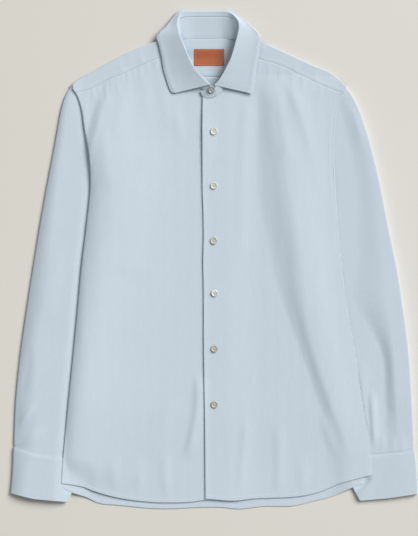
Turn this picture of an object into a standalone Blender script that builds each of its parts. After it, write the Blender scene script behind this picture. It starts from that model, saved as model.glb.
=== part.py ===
"""A long-sleeved needlecord shirt, buttoned and laid flat on a table.

The frame: +X is the wearer's left, +Y runs from the hem to the collar, +Z is up from the table.
The origin is on the table, under the middle of the shirt. Every size below is in millimetres.
Each cloth piece is a mid-surface, worked out from the outlines and heights below, with a Solidify wall.
"""
import math

import bmesh
import bpy
import numpy as np
from mathutils import Matrix, Vector

MM = 0.001

# Walls and clearances.
CLOTH = 1.2  # wall of a single cloth piece
COLLAR_CLOTH = 1.5  # wall of the interlined stand and leaf
CUFF_CLOTH = 1.6  # wall of a cuff
LABEL_CLOTH = 1.0
SEAM_GAP = 0.35  # between pieces that are sewn together
LAYER_GAP = 1.2  # air between layers that lie loosely on each other
LOFT = 1.9  # air between back and front
SEAM_LAP = 7.0  # width of a lapped seam

# Sleeves pressed flat: the ring's fold radius and its half height away from the folds.
SLEEVE_FOLD = 2.5
SLEEVE_HALF = 1.0
SLEEVE_SETTLE = 24.0  # how fast the puff at a fold dies away
RING_MIDDLE = 5  # points across the flat of a pressed tube
CUFF_FOLD = 1.9
CUFF_HALF = 1.15

# The body climbs over the hidden inner edge of each sleeve.
CLIMB_RUN = 50.0
CLIMB_BEFORE = 3.0  # the climb is over this far before the edge

# The placket: overlap of the left front over the right one, about the button line.
PLACKET_UNDER = 15.0  # how far the right front runs on past the button line
PLACKET_STEP_END = 30.0  # where the left front is back on the common height

# The placket edge of the left front, the one that shows.
PLACKET_COLUMNS = ("y", "x")
PLACKET_EDGE = (
    (-380, -13.3), (-252, -14.3), (-142, -16), (30, -16.5),
    (109, -18), (218, -18.3), (262, -17.5),
)

# The collar's own centre line, which leans to the right towards the back.
CENTRE_COLUMNS = ("y", "x")
COLLAR_CENTRE = ((388, -14), (370, -9.5), (345, -8), (317, -6.3), (296, -5.5), (281, -3.5), (258, -1))
LEAF_NARROWER = 4.5  # the left point lies this much closer to the middle
STAND_SHARE = 0.82  # seam between stand and leaf, as a share of the way up to the roll
LEAF_SEAM_GAP = 0.8  # the leaf starts this far above the stand's upper edge
COLLAR_STATIONS = 39  # shared by stand and leaf, so that their edges bend alike
NECK_LIFT = 2.0  # the yoke is lifted by the back leaf under it
NECK_LIFT_HALF = 96.0  # half width of that lift

# The stand's two front tabs, carried on past its end stations: the upper one has a round end.
TAB_COLUMNS = ("distance", "height_share")
TAB_OVER = ((6, 1.0), (12, 1.0), (17, 0.96), (21, 0.84), (23.6, 0.64), (25, 0.40))
TAB_UNDER = ((6, 1.0), (12, 0.95), (20, 0.8))
TAB_OVER_LIFT = (0.0, -1.26, 1.05)  # the upper tab is moved forward by this
TAB_UNDER_LIFT = (0.0, -0.8, 0.7)  # and the top of the lower one back by this

# The yoke's back seam and the armholes.
BACK_SEAM_Y = 286.0
BACK_SEAM_DROP = 38.0  # how much lower it is at the armholes
ARMHOLE_INSET = 14.0  # the back's armhole is cut further in than the front's
ARMHOLE_LOW, ARMHOLE_HIGH = 118.0, 246.0  # the front is sewn down on the sleeve between these heights

BUTTON_RADIUS = 5.6
BUTTON_HEIGHT = 2.3
BUTTON_HOLE_RADIUS = 0.75
BUTTON_HOLE_OFFSET = 1.35
FRONT_BUTTONS = ((0, 200), (0, 115), (0, 29), (1, -53), (1, -140), (1, -227))
LABEL_BOX = ((-31, 303), (16, 329))

# Outer lines by height on the shirt. "body" is the armhole above y = 120 and the side below it.
SIDE_COLUMNS = ("y", "right_sleeve", "right_body", "left_body", "left_sleeve")
SIDES = (
    (268, -225, -222, 209, 207),
    (256, -232, -214, 202, 216),
    (234, -239, -207, 193, 227),
    (202, -245, -202, 189, 238),
    (163, -252, -195, 188, 249),
    (116, -261, -193, 190, 260),
    (54, -272, -199, 194, 272),
    (-14, -283, -207, 200, 286),
    (-79, -293, -213, 209, 296),
    (-142, -302, -219, 220, 304),
    (-220, -310, -227, 234, 309),
    (-292, -313, -234, 244, 313),
    (-338, -315, -238, 248, 317),
    (-368, -318, -239, 250, 318),
)
# The hidden inner edge of each sleeve, from the underarm to the cuff.
INNER_COLUMNS = ("y", "right", "left")
INNER = (
    (163, -85, 85),
    (116, -97, 96),
    (54, -114, 110),
    (-14, -138, 125),
    (-79, -161, 143),
    (-142, -175, 161),
    (-220, -193, 185),
    (-296, -208, 206),
    (-338, -216, 212),
    (-368, -219, 215),
)
# The sleeve's top end: from the shoulder tip, down under the body, to the underarm.
SLEEVE_TOP = {"right": ((-221, 270), (-85, 143)), "left": ((206, 266), (85, 143))}
# Shoulder folds and the yoke's front seams, from the neck to the shoulder tip.
SHOULDER_COLUMNS = ("x", "y")
SHOULDER = {
    "right": (
        (-50, 346), (-70, 345), (-89, 341), (-121, 329), (-147, 317),
        (-185, 296), (-207, 284), (-218, 276), (-222, 271),
    ),
    "left": (
        (36, 346), (55, 345), (72, 341), (99, 329), (125, 317),
        (158, 302), (185, 290), (200, 276), (208, 267),
    ),
}
FRONT_SEAM_COLUMNS = ("x", "y")
FRONT_SEAM = {
    "right": (
        (-53, 331), (-81, 318), (-105, 308), (-132, 295),
        (-164, 282), (-193, 267), (-210, 262), (-219, 260),
    ),
    "left": ((39, 324), (70, 314), (105, 303), (143, 285), (180, 268), (207, 258)),
}
HEM_COLUMNS = ("x", "y")
HEMS = {
    "front_right": (
        (-240, -352), (-216, -357), (-186, -364), (-136, -375),
        (-100, -380), (-60, -381), (-14, -377), (20, -377),
    ),
    "front_left": (
        (-20, -375), (31, -378), (60, -375), (125, -372), (147, -369),
        (174, -361), (194, -352), (215, -346), (252, -336),
    ),
    "back": (
        (-240, -356), (-224, -364), (-190, -379), (-164, -384), (-100, -390), (-25, -389), (39, -390.5),
        (77, -387), (125, -386), (155, -379), (183, -372), (215, -358), (252, -341),
    ),
}
CUFF_SEAM_COLUMNS = ("x", "y")
CUFF_SEAM = {
    "right": ((-314, -293), (-291, -301), (-238, -308), (-205, -309)),
    "left": ((203, -308), (244, -306), (293, -301), (316, -296)),
}
# The cuff's lower edge, with the mitred corner on its inner side.
CUFF_BOTTOM_COLUMNS = ("x", "y")
CUFF_BOTTOM = {
    "right": ((-319, -366), (-282, -375), (-233, -379), (-217, -361)),
    "left": ((213, -357), (229, -377), (274, -374), (319, -367)),
}
# The collar, from the middle of the back to the button: half widths from its own centre line.
STAND_COLUMNS = ("base_x", "base_y", "roll_x", "roll_y", "roll_z")
STAND = (
    (0.0, 344, 0.0, 387, 5.5),
    (18.8, 344, 18.8, 387, 5.8),
    (34.0, 344, 35.0, 386, 8.5),
    (43.2, 344, 43.2, 380, 16.0),
    (47.4, 340, 48.0, 368, 24.0),
    (46.2, 329, 45.9, 352, 29.0),
    (42.3, 315, 40.7, 336, 30.0),
    (36.0, 300, 34.1, 317, 29.5),
    (27.4, 282, 24.7, 298, 28.0),
    (15.7, 266, 15.2, 285, 25.5),
    (3.5, 256, 3.6, 272.5, 22.5),
)
LEAF_LOWEST = COLLAR_CLOTH / 2 + 0.1  # mid-height of the back leaf, which lies on the table
LEAF_COLUMNS = ("turn_x", "turn_y", "turn_z", "edge_x", "edge_y", "edge_z")
LEAF = (
    (0.0, 389.5, 2.4, 0.0, 338, 0.8),
    (20.0, 389.5, 2.4, 19.0, 338, 0.8),
    (39.0, 389.0, 2.6, 36.5, 338, 0.8),
    (52.5, 378.0, 3.2, 50.0, 340, 0.8),
    (66.0, 364.0, 4.2, 64.5, 346.0, 1.0),
    (77.0, 352.5, 6.6, 81.0, 349.5, 5.4),
    (75.0, 332.5, 13.2, 78.5, 332, 12.0),
    (71.5, 312.8, 11.8, 75.4, 312, 10.6),
    (68.4, 291.8, 10.2, 72.8, 291, 9.0),
    (64.5, 273.4, 9.8, 69.4, 272, 8.6),
    (59.0, 260.0, 9.8, 64.8, 258, 8.6),
)
# The largest folds of the fronts, as soft ridges between two points.
FOLD_COLUMNS = ("x1", "y1", "x2", "y2", "half_width", "height")
FOLDS = {
    "front_right": (
        (-158, 272, -176, 176, 13, 1.6),
        (-128, 286, -140, 196, 12, 1.2),
        (-96, 300, -84, 150, 14, 0.9),
        (-44, -210, -60, -330, 12, 1.6),
        (-118, -250, -128, -370, 16, 1.4),
    ),
    "front_left": (
        (92, 296, 128, 160, 13, 1.5),
        (146, 276, 154, 160, 13, 1.2),
        (176, 262, 178, 210, 10, 1.0),
        (36, -250, 38, -372, 10, 1.5),
        (106, -270, 108, -368, 14, 1.3),
        (190, -280, 214, -340, 12, 1.4),
    ),
}
# The pleat that takes the left sleeve's fullness into its cuff.
SLEEVE_PLEATS = {
    "right": ((-289, -190, -282, -270, 11, 1.4),),
    "left": ((250, -200, 246, -292, 11, 1.8),),
}

CLOTH_COLOUR = (0.565, 0.658, 0.730, 1.0)
LABEL_COLOUR = (0.515, 0.127, 0.042, 1.0)
BUTTON_COLOUR = (0.70, 0.66, 0.58, 1.0)


# ---------------------------------------------------------------- curves and heights


def column(rows, columns, name):
    return np.array([row[columns.index(name)] for row in rows], float)


def smooth_curve(keys, values, at):
    """The values as a smooth function of rising keys: cubic pieces whose slopes are the neighbours' mean."""
    keys, values = np.asarray(keys, float), np.asarray(values, float)
    at = np.clip(at, keys[0], keys[-1])
    steps = np.diff(values) / np.diff(keys)
    slopes = np.concatenate([steps[:1], (steps[:-1] + steps[1:]) / 2, steps[-1:]])
    i = np.clip(np.searchsorted(keys, at, side="right") - 1, 0, len(keys) - 2)
    width = keys[i + 1] - keys[i]
    t = (at - keys[i]) / width
    start, end = values[i], values[i + 1]
    lift, fall = slopes[i] * width, slopes[i + 1] * width
    return (
        start * (2 * t**3 - 3 * t**2 + 1)
        + lift * (t**3 - 2 * t**2 + t)
        + end * (3 * t**2 - 2 * t**3)
        + fall * (t**3 - t**2)
    )


def line_of(points, at):
    """The second value of a line of points where the first is this; the points may run either way."""
    ordered = sorted(points)
    return smooth_curve([p[0] for p in ordered], [p[1] for p in ordered], at)


def side_x(name, y):
    rows = SIDES[::-1]
    return smooth_curve(column(rows, SIDE_COLUMNS, "y"), column(rows, SIDE_COLUMNS, name), y)


def inner_x(side, y):
    """The sleeve's inner edge, carried on in a straight line above the underarm."""
    rows = INNER[::-1]
    keys = column(rows, INNER_COLUMNS, "y")
    values = column(rows, INNER_COLUMNS, side)
    slope = (values[-1] - values[-2]) / (keys[-1] - keys[-2])
    return smooth_curve(keys, values, y) + slope * np.maximum(np.asarray(y, float) - keys[-1], 0)


def ease(t):
    t = np.clip(t, 0, 1)
    return t * t * (3 - 2 * t)


def outward(side):
    return -1.0 if side == "right" else 1.0


def puff(distance, fold, half):
    """Half height of a pressed tube at this distance in from its fold: round there, then settling flat."""
    inside = np.clip(distance, 0, fold)
    round_part = np.sqrt(np.maximum(fold**2 - (fold - inside) ** 2, 0))
    settled = half + (fold - half) * np.exp(-(((distance - fold) / SLEEVE_SETTLE) ** 2))
    return np.where(distance < fold, round_part, settled)


def ridge(x, y, rows):
    """The sum of soft ridges: a bell across each line, fading out at its two ends."""
    total = np.zeros(np.broadcast(x, y).shape)
    for x1, y1, x2, y2, half_width, height in rows:
        length = math.hypot(x2 - x1, y2 - y1)
        along = ((x - x1) * (x2 - x1) + (y - y1) * (y2 - y1)) / length
        across = ((x - x1) * (y2 - y1) - (y - y1) * (x2 - x1)) / length
        fade = ease(along / 40 + 0.1) * ease((length - along) / 45 + 0.3)
        total = total + height * fade * np.exp(-((across / half_width) ** 2))
    return total


def sleeve_upper(side, x, y):
    """Mid-height of a sleeve's upper layer at (x, y), taken at the fold's crest past either fold."""
    sign = outward(side)
    from_outer = sign * (side_x(side + "_sleeve", y) - x)
    from_inner = sign * (x - inner_x(side, y))
    crest_in = np.maximum(from_inner, SLEEVE_FOLD)
    crest_out = np.maximum(from_outer, SLEEVE_FOLD)
    half = np.maximum(
        puff(crest_in, SLEEVE_FOLD, SLEEVE_HALF), puff(crest_out, SLEEVE_FOLD, SLEEVE_HALF)
    )
    return CLOTH / 2 + 2 * half + ridge(x, y, SLEEVE_PLEATS[side])


def over_sleeve(side, x, y):
    """From 0 clear of the sleeve to 1 over it: the shorter of the ways to its inner edge and its top end."""
    sign = outward(side)
    inside = sign * (x - inner_x(side, y)) * 0.97
    (x1, y1), (x2, y2) = SLEEVE_TOP[side]
    length = math.hypot(x2 - x1, y2 - y1)
    below_top = sign * ((x - x1) * (y1 - y2) - (y1 - y) * (x2 - x1)) / length
    blend = 24.0
    mix = np.clip(0.5 + 0.5 * (below_top - inside) / blend, 0, 1)
    depth = below_top + (inside - below_top) * mix - blend * mix * (1 - mix) * 0.5
    return ease((depth + CLIMB_RUN) / (CLIMB_RUN - CLIMB_BEFORE))


def base_height(x, y):
    """Mid-height of the lowest body layer: on the table, over the back leaf, or over a sleeve."""
    height = np.full(np.broadcast(x, y).shape, CLOTH / 2)
    centre = collar_centre(345.0)
    near_neck = ease((y - 312) / 20) * ease((NECK_LIFT_HALF - np.abs(x - centre)) / 12)
    height = height + NECK_LIFT * near_neck
    for side in ("right", "left"):
        lift = sleeve_upper(side, x, y) + CLOTH + LAYER_GAP - CLOTH / 2
        height = height + over_sleeve(side, x, y) * lift * np.where(x * outward(side) > 0, 1.0, 0.0)
    return height


def armhole_dip(side, x, y):
    """1 along the armhole's edge, where the front is sewn down on the sleeve, and 0 away from it."""
    from_edge = outward(side) * (side_x(side + "_body", y) - x)
    within = ease((y - ARMHOLE_LOW) / 30) * ease((ARMHOLE_HIGH - y) / 14)
    return within * ease(1 - from_edge / 13)


def front_height(side, x, y):
    """Mid-height of a front: over the back, with its folds, and sewn down on the sleeve at the armhole."""
    loose = base_height(x, y) + CLOTH + LOFT + ridge(x, y, FOLDS["front_" + side])
    sewn = sleeve_upper(side, x, y) + CLOTH + 3 * SEAM_GAP
    dip = armhole_dip(side, x, y)
    height = loose + (sewn - loose) * dip
    if side == "left":
        step = CLOTH + 1.5 * SEAM_GAP
        height = height + step * ease((PLACKET_STEP_END - x) / 12)
    return height


def collar_centre(y):
    """The collar's own centre line, which leans to the right at the back."""
    return line_of(COLLAR_CENTRE, y)


def neckline_y(side, x):
    """The neckline at the front, under the stand's base: its y at these x."""
    rows = STAND[:3:-1]
    base_y = column(rows, STAND_COLUMNS, "base_y")
    base_x = collar_centre(base_y) + outward(side) * column(rows, STAND_COLUMNS, "base_x")
    order = np.argsort(base_x)
    return smooth_curve(base_x[order], base_y[order], x)


# ---------------------------------------------------------------- meshes


def material(name, colour, roughness):
    made = bpy.data.materials.new(name)
    made.use_nodes = True
    shader = made.node_tree.nodes["Principled BSDF"]
    shader.inputs["Base Color"].default_value = colour
    shader.inputs["Roughness"].default_value = roughness
    shader.inputs["Metallic"].default_value = 0.0
    return made


def add_object(name, mesh, colour, roughness):
    made = bpy.data.objects.new(name, mesh)
    bpy.context.scene.collection.objects.link(made)
    mesh.materials.append(material(name + "_finish", colour, roughness))
    mesh.shade_smooth()
    mesh.set_sharp_from_angle(angle=math.radians(40))
    return made


def grid_faces(rows, columns, closed=False):
    """Quads of a grid of points, rows of columns; closed joins the last column to the first."""
    faces = []
    across = columns if closed else columns - 1
    for i in range(rows - 1):
        for j in range(across):
            k = (j + 1) % columns
            faces.append((i * columns + j, i * columns + k, (i + 1) * columns + k, (i + 1) * columns + j))
    return faces


def surface_mesh(name, grids):
    """One mesh of the point grids (rows, columns, 3) in millimetres, welded where they share points."""
    build = bmesh.new()
    for points, closed in grids:
        rows, columns = points.shape[:2]
        made = [build.verts.new(Vector(p) * MM) for p in points.reshape(-1, 3)]
        for face in grid_faces(rows, columns, closed):
            build.faces.new([made[i] for i in face])
    bmesh.ops.remove_doubles(build, verts=build.verts, dist=0.00002)
    bmesh.ops.recalc_face_normals(build, faces=build.faces)
    mesh = bpy.data.meshes.new(name)
    build.to_mesh(mesh)
    build.free()
    return mesh


def cloth(name, grids, wall=CLOTH, colour=CLOTH_COLOUR):
    """A cloth piece: its mid-surface with a wall, half on either side."""
    made = add_object(name, surface_mesh(name, grids), colour, 0.9)
    solidify = made.modifiers.new("wall", "SOLIDIFY")
    solidify.thickness = wall * MM
    solidify.offset = 0.0
    solidify.use_even_offset = False
    solidify.use_rim = True
    return made


def edge_turn(distance, radius):
    """How far a turned edge has dropped at this distance in from it: a quarter circle."""
    inside = np.clip(distance, 0, radius)
    return radius - np.sqrt(np.maximum(radius**2 - (radius - inside) ** 2, 0))


# ---------------------------------------------------------------- body panels

PANEL_ROWS = 18
ROW_CROWDING = 1.3  # above 1, rows lie closer together towards the shoulders
EDGE_STEPS = (0.0, 0.5, 1.55)  # distances in from a turned side edge
EDGE_GAP = 0.7  # how far front and back each stop short of the middle of the side fold


def side_turn(side, y):
    """Radius of the fold where front and back meet, which fades out up the armhole."""
    return 0.5 * (CLOTH + LOFT) * ease((150 - y) / 30)


def panel_grid(left_x, right_x, top_y, hem, fractions, steps_left, steps_right):
    """Plan points of a panel: columns at shares of its width, rows at shares of its length.

    x runs from left_x(y) to right_x(y) and y from top_y(x) to the hem, so the two are settled in turns.
    """
    fractions = np.asarray(fractions, float)[None, :]
    inset_left = np.asarray(steps_left, float)[None, :]
    inset_right = np.asarray(steps_right, float)[None, :]
    down = np.linspace(0, 1, PANEL_ROWS)[:, None] ** ROW_CROWDING + np.zeros_like(fractions)
    y = 260 - 620 * down
    x = np.zeros_like(y)
    for _ in range(12):
        low, high = left_x(y), right_x(y)
        x = low + inset_left + (high - low - inset_left - inset_right) * fractions
        top = top_y(x)
        y = top + (line_of(hem, x) - top) * down
    return x, y


def front_grid(side):
    """The front from its side edge to its placket edge."""
    sign = outward(side)
    inner = 16 if side == "right" else 20
    fractions = np.concatenate([[0, 0, 0], np.linspace(0, 1, inner + 1)[1:]])
    insets = np.concatenate([EDGE_STEPS, np.zeros(inner)])
    none = np.zeros_like(insets)

    def body_edge(y):
        return side_x(side + "_body", y)

    def placket_edge(y):
        if side == "right":
            return np.full(np.shape(y), PLACKET_UNDER)
        return placket_x(y)

    seam = FRONT_SEAM[side]
    neck_end = seam[0][0]

    def top(x):
        under_yoke = line_of(seam, x) + SEAM_LAP
        at_neck = neckline_y(side, x) + 2.5
        return np.where(sign * x > sign * neck_end, under_yoke, np.minimum(at_neck, under_yoke))

    hem = HEMS["front_" + side]
    if side == "right":
        x, y = panel_grid(body_edge, placket_edge, top, hem, fractions, insets, none)
    else:
        x, y = panel_grid(
            placket_edge, body_edge, top, hem, (1 - fractions)[::-1], none, insets[::-1]
        )
    z = front_height(side, x, y)
    radius = side_turn(side, y)
    from_edge = np.abs(body_edge(y) - x)
    safe = np.maximum(radius, 1e-6)
    drop = edge_turn(from_edge, safe) - EDGE_GAP * (from_edge < 0.01)
    return np.stack([x, y, z - np.where(radius > 0.05, np.maximum(drop, 0), 0)], axis=2)


def placket_x(y):
    """The placket edge of the left front."""
    return line_of(PLACKET_EDGE, y)


def back_seam_y(x):
    """The yoke's back seam: level in the middle and lower towards the armholes."""
    return BACK_SEAM_Y - BACK_SEAM_DROP * ease((np.abs(x) - 40) / 150)


def armhole_inset(y):
    """The back's armhole is cut further in than the front's, which is lapped on the sleeve."""
    return ARMHOLE_INSET * ease((y - 100) / 30)


def back_grid():
    inner = 31
    fractions = np.concatenate([[0, 0], np.linspace(0, 1, inner + 1), [1, 1]])
    left = np.concatenate([EDGE_STEPS, np.zeros(inner + 2)])
    right = left[::-1]

    def low(y):
        return side_x("right_body", y) + armhole_inset(y)

    def high(y):
        return side_x("left_body", y) - armhole_inset(y)

    def top(x):
        return back_seam_y(x) - SEAM_GAP

    x, y = panel_grid(low, high, top, HEMS["back"], fractions, left, right)
    z = base_height(x, y)
    radius = side_turn("right", y)
    from_edge = np.minimum(x - low(y), high(y) - x)
    safe = np.maximum(radius, 1e-6)
    rise = edge_turn(from_edge, safe) - EDGE_GAP * (from_edge < 0.01)
    return np.stack([x, y, z + np.where(radius > 0.05, np.maximum(rise, 0), 0)], axis=2)


# ---------------------------------------------------------------- yoke

YOKE_TURN = (0.0, 45.0, 90.0, 135.0, 180.0)  # degrees round the shoulder fold


def shoulder_y(side, x):
    return line_of(SHOULDER[side], x)


def flap_height(side, x, y):
    """The yoke's flap lies on the front's top edge."""
    return front_height(side, x, y) + CLOTH + 4 * SEAM_GAP


def yoke_side(side):
    """Half of the yoke with a shoulder: back seam, up to the fold, round it and down to the front seam."""
    sign = outward(side)
    neck = SHOULDER[side][0][0]
    tip = SHOULDER[side][-1][0]
    x = np.linspace(neck, tip - sign * 1.0, 11)
    fold_y = shoulder_y(side, x)
    start_y = back_seam_y(x) + SEAM_GAP
    low = base_height(x, fold_y)
    high = flap_height(side, x, fold_y)
    radius = np.maximum((high - low) / 2, 1.0)
    rows = []
    for share in np.linspace(0, 1, 6)[:-1]:
        y = start_y + (fold_y - radius - start_y) * share
        rows.append(np.stack([x, y, base_height(x, y)], axis=1))
    for angle in YOKE_TURN:
        turn = math.radians(angle)
        y = fold_y - radius + radius * math.sin(turn)
        rows.append(np.stack([x, y, (low + high) / 2 - radius * math.cos(turn)], axis=1))
    end_y = line_of(FRONT_SEAM[side], x)
    for share in (0.3, 0.65, 1.0):
        y = fold_y - radius + (end_y - fold_y + radius) * share
        held = sign * np.minimum(sign * x, sign * side_x(side + "_body", y))
        rows.append(np.stack([held, y, flap_height(side, held, y)], axis=1))
    return np.array(rows)


def yoke_middle():
    """The back of the yoke between the neck points, from the back seam up to the neckline."""
    x = np.linspace(SHOULDER["right"][0][0], SHOULDER["left"][0][0], 9)
    top = np.full_like(x, shoulder_y("left", SHOULDER["left"][0][0]))
    radius = (flap_height("left", x[-1:], top[-1:]) - base_height(x[-1:], top[-1:])) / 2
    top = top - radius
    start_y = back_seam_y(x) + SEAM_GAP
    rows = []
    for share in np.linspace(0, 1, 6):
        y = start_y + (top - start_y) * share
        rows.append(np.stack([x, y, base_height(x, y)], axis=1))
    neck_edge = np.full_like(x, 347.0)
    rows.append(np.stack([x, neck_edge, base_height(x, neck_edge)], axis=1))
    return np.array(rows)


# ---------------------------------------------------------------- sleeves and cuffs


def ring_layers():
    """The layer of each point round a pressed tube: 1 upper, -1 lower, 0 on a fold; then its place on it."""
    upper = [("outer", 0.0), ("outer", 0.293), ("outer", 1.0)]
    upper += [("middle", share) for share in np.linspace(0, 1, RING_MIDDLE)]
    upper += [("inner", 1.0), ("inner", 0.293), ("inner", 0.0)]
    lower = [("inner", 0.293), ("inner", 1.0), ("middle", 0.5), ("outer", 1.0), ("outer", 0.293)]
    layer = np.array([1.0] * len(upper) + [-1.0] * len(lower))
    layer[[0, len(upper) - 1]] = 0.0
    return upper + lower, layer


def ring_distance(places, width, fold):
    """Distances in from the outer fold: the folds keep their size, and the middle shares out what is left."""
    inset = fold + 9
    got = []
    for (kind, share), across in zip(places, width):
        middle = inset + (across - 2 * inset) * share
        got.append({"outer": share * fold, "inner": across - share * fold, "middle": middle}[kind])
    return np.array(got)


def ring(side, top_of, bottom_of, share, fold, half, wall, spread):
    """One ring of a pressed tube between its top and bottom lines, which both depend on the place across."""
    places, layer = ring_layers()
    sign = outward(side)
    y = np.zeros(len(places))
    for _ in range(12):
        outer = side_x(side + "_sleeve", y) + sign * spread
        inner = inner_x(side, y)
        width = np.abs(inner - outer)
        distance = ring_distance(places, width, fold)
        x = outer - sign * distance
        y = top_of(x, distance / width)
        y = y + (bottom_of(x) - y) * share
    return tube_point(side, distance, layer, y, outer, inner, fold, half, wall)


def tube_point(side, distance, layer, y, outer, inner, fold, half, wall):
    """A point of a pressed tube: its lower layer on the table and its upper layer as high as it puffs."""
    width = np.abs(inner - outer)
    near = np.minimum(distance, width - distance)
    height = puff(near, fold, half)
    centre = wall / 2 + puff(np.maximum(near, fold), fold, half)
    z = np.where(layer < 0, centre - height, np.where(layer > 0, centre + height, centre))
    x = outer + np.sign(inner - outer) * distance
    upper = ease(near / 14) * (layer > 0)
    return np.stack([x, y, z + upper * ridge(x, y, SLEEVE_PLEATS[side])], axis=-1)


def sleeve_grid(side):
    """Rings of the sleeve: slanting at the top end, level below, and slanting again at the cuff seam."""
    (_, y1), (_, y2) = SLEEVE_TOP[side]

    def top_of(x, across):
        return y1 + (y2 - y1) * across

    def bottom_of(x):
        return line_of(CUFF_SEAM[side], x) + SEAM_GAP

    rows = []
    for share in np.linspace(0, 1, 15) ** 1.1:
        taper = ease((share - 0.93) / 0.07)
        fold = SLEEVE_FOLD + (CUFF_FOLD - SLEEVE_FOLD) * taper
        half = SLEEVE_HALF + (CUFF_HALF - SLEEVE_HALF) * taper
        points = ring(side, top_of, bottom_of, share, fold, half, CLOTH, 0.0)
        points[:, 2] += taper * (CUFF_CLOTH - CLOTH) / 2
        rows.append(points)
    return np.array(rows)


def cuff_grid(side):
    def top_of(x, across):
        return line_of(CUFF_SEAM[side], x) - SEAM_GAP

    def bottom_of(x):
        corners = CUFF_BOTTOM[side]
        return np.interp(x, [p[0] for p in corners], [p[1] for p in corners])

    rows = [
        ring(side, top_of, bottom_of, share, CUFF_FOLD, CUFF_HALF, CUFF_CLOTH, 0.4)
        for share in (0.0, 0.25, 0.5, 0.75, 1.0)
    ]
    return np.array(rows)


# ---------------------------------------------------------------- collar


def surface_below(x, y):
    """Mid-height of what the collar stands or lies on at (x, y)."""
    side_left = flap_or_front("left", x, y)
    side_right = flap_or_front("right", x, y)
    top = np.where(x > placket_x(y) - 3, side_left, side_right)
    behind = base_height(x, y)
    beside = np.abs(x - collar_centre(y))
    in_front = np.maximum(ease((338 - y) / 8), ease((beside - 20) / 20))
    return behind + (top - behind) * in_front


def flap_or_front(side, x, y):
    seam = line_of(FRONT_SEAM[side], x)
    front = front_height(side, x, y)
    return front + (CLOTH + 4 * SEAM_GAP) * ease((y - seam + 8) / 4)


def collar_station(rows, columns, name, t, mirrored):
    """A column of the half table at station t in -1 to 1; mirrored columns change sign on the right."""
    values = column(rows, columns, name)
    keys = np.linspace(0, 1, len(values))
    got = smooth_curve(keys, values, np.abs(t))
    return np.where(t < 0, -got, got) if mirrored else got


def collar_lines(t):
    """Base, stand seam and roll points at stations t: -1 is the right front end and +1 the left."""
    base_y = collar_station(STAND, STAND_COLUMNS, "base_y", t, False)
    base_x = collar_centre(base_y) + collar_station(STAND, STAND_COLUMNS, "base_x", t, True)
    roll_y = collar_station(STAND, STAND_COLUMNS, "roll_y", t, False)
    roll_x = collar_centre(roll_y) + collar_station(STAND, STAND_COLUMNS, "roll_x", t, True)
    roll_z = collar_station(STAND, STAND_COLUMNS, "roll_z", t, False)
    base_z = surface_below(base_x, base_y) + CLOTH / 2 + COLLAR_CLOTH / 2 + 0.75
    base = np.stack([base_x, base_y, base_z], axis=-1)
    roll = np.stack([roll_x, roll_y, roll_z], axis=-1)
    return base, roll


def stand_tab(base, seam, shift, end_share):
    """The next station of a tab past the stand's end, moved on and drawn in about its middle."""
    moved_base, moved_seam = base + shift, seam + shift
    middle = (moved_base + moved_seam) / 2
    return middle + (moved_base - middle) * end_share, middle + (moved_seam - middle) * end_share


def tab_share(t):
    """From 0 to 1 towards the left front end, where the tabs lie over each other."""
    return ease((t - 0.82) / 0.14)[:, None]


def stand_grid():
    t = np.linspace(-1, 1, COLLAR_STATIONS)
    base, roll = collar_lines(t)
    seam = base + (roll - base) * STAND_SHARE
    base = base + tab_share(t) * np.array(TAB_OVER_LIFT)
    seam = seam + tab_share(t) * np.array(TAB_OVER_LIFT) - tab_share(-t) * np.array(TAB_UNDER_LIFT)
    left_tab = [
        stand_tab(base[-1], seam[-1], np.array([-d, -0.12 * d, -0.02 * d]), share) for d, share in TAB_OVER
    ]
    right_tab = [
        stand_tab(base[0], seam[0], np.array([d, 0.028 * d * d, 0.0]), share) for d, share in TAB_UNDER
    ]
    full_base = np.array([b for b, _ in right_tab[::-1]] + list(base) + [b for b, _ in left_tab])
    full_seam = np.array([s for _, s in right_tab[::-1]] + list(seam) + [s for _, s in left_tab])
    rows = [full_base + (full_seam - full_base) * share for share in (0.0, 0.5, 1.0)]
    return np.array(rows)


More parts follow.
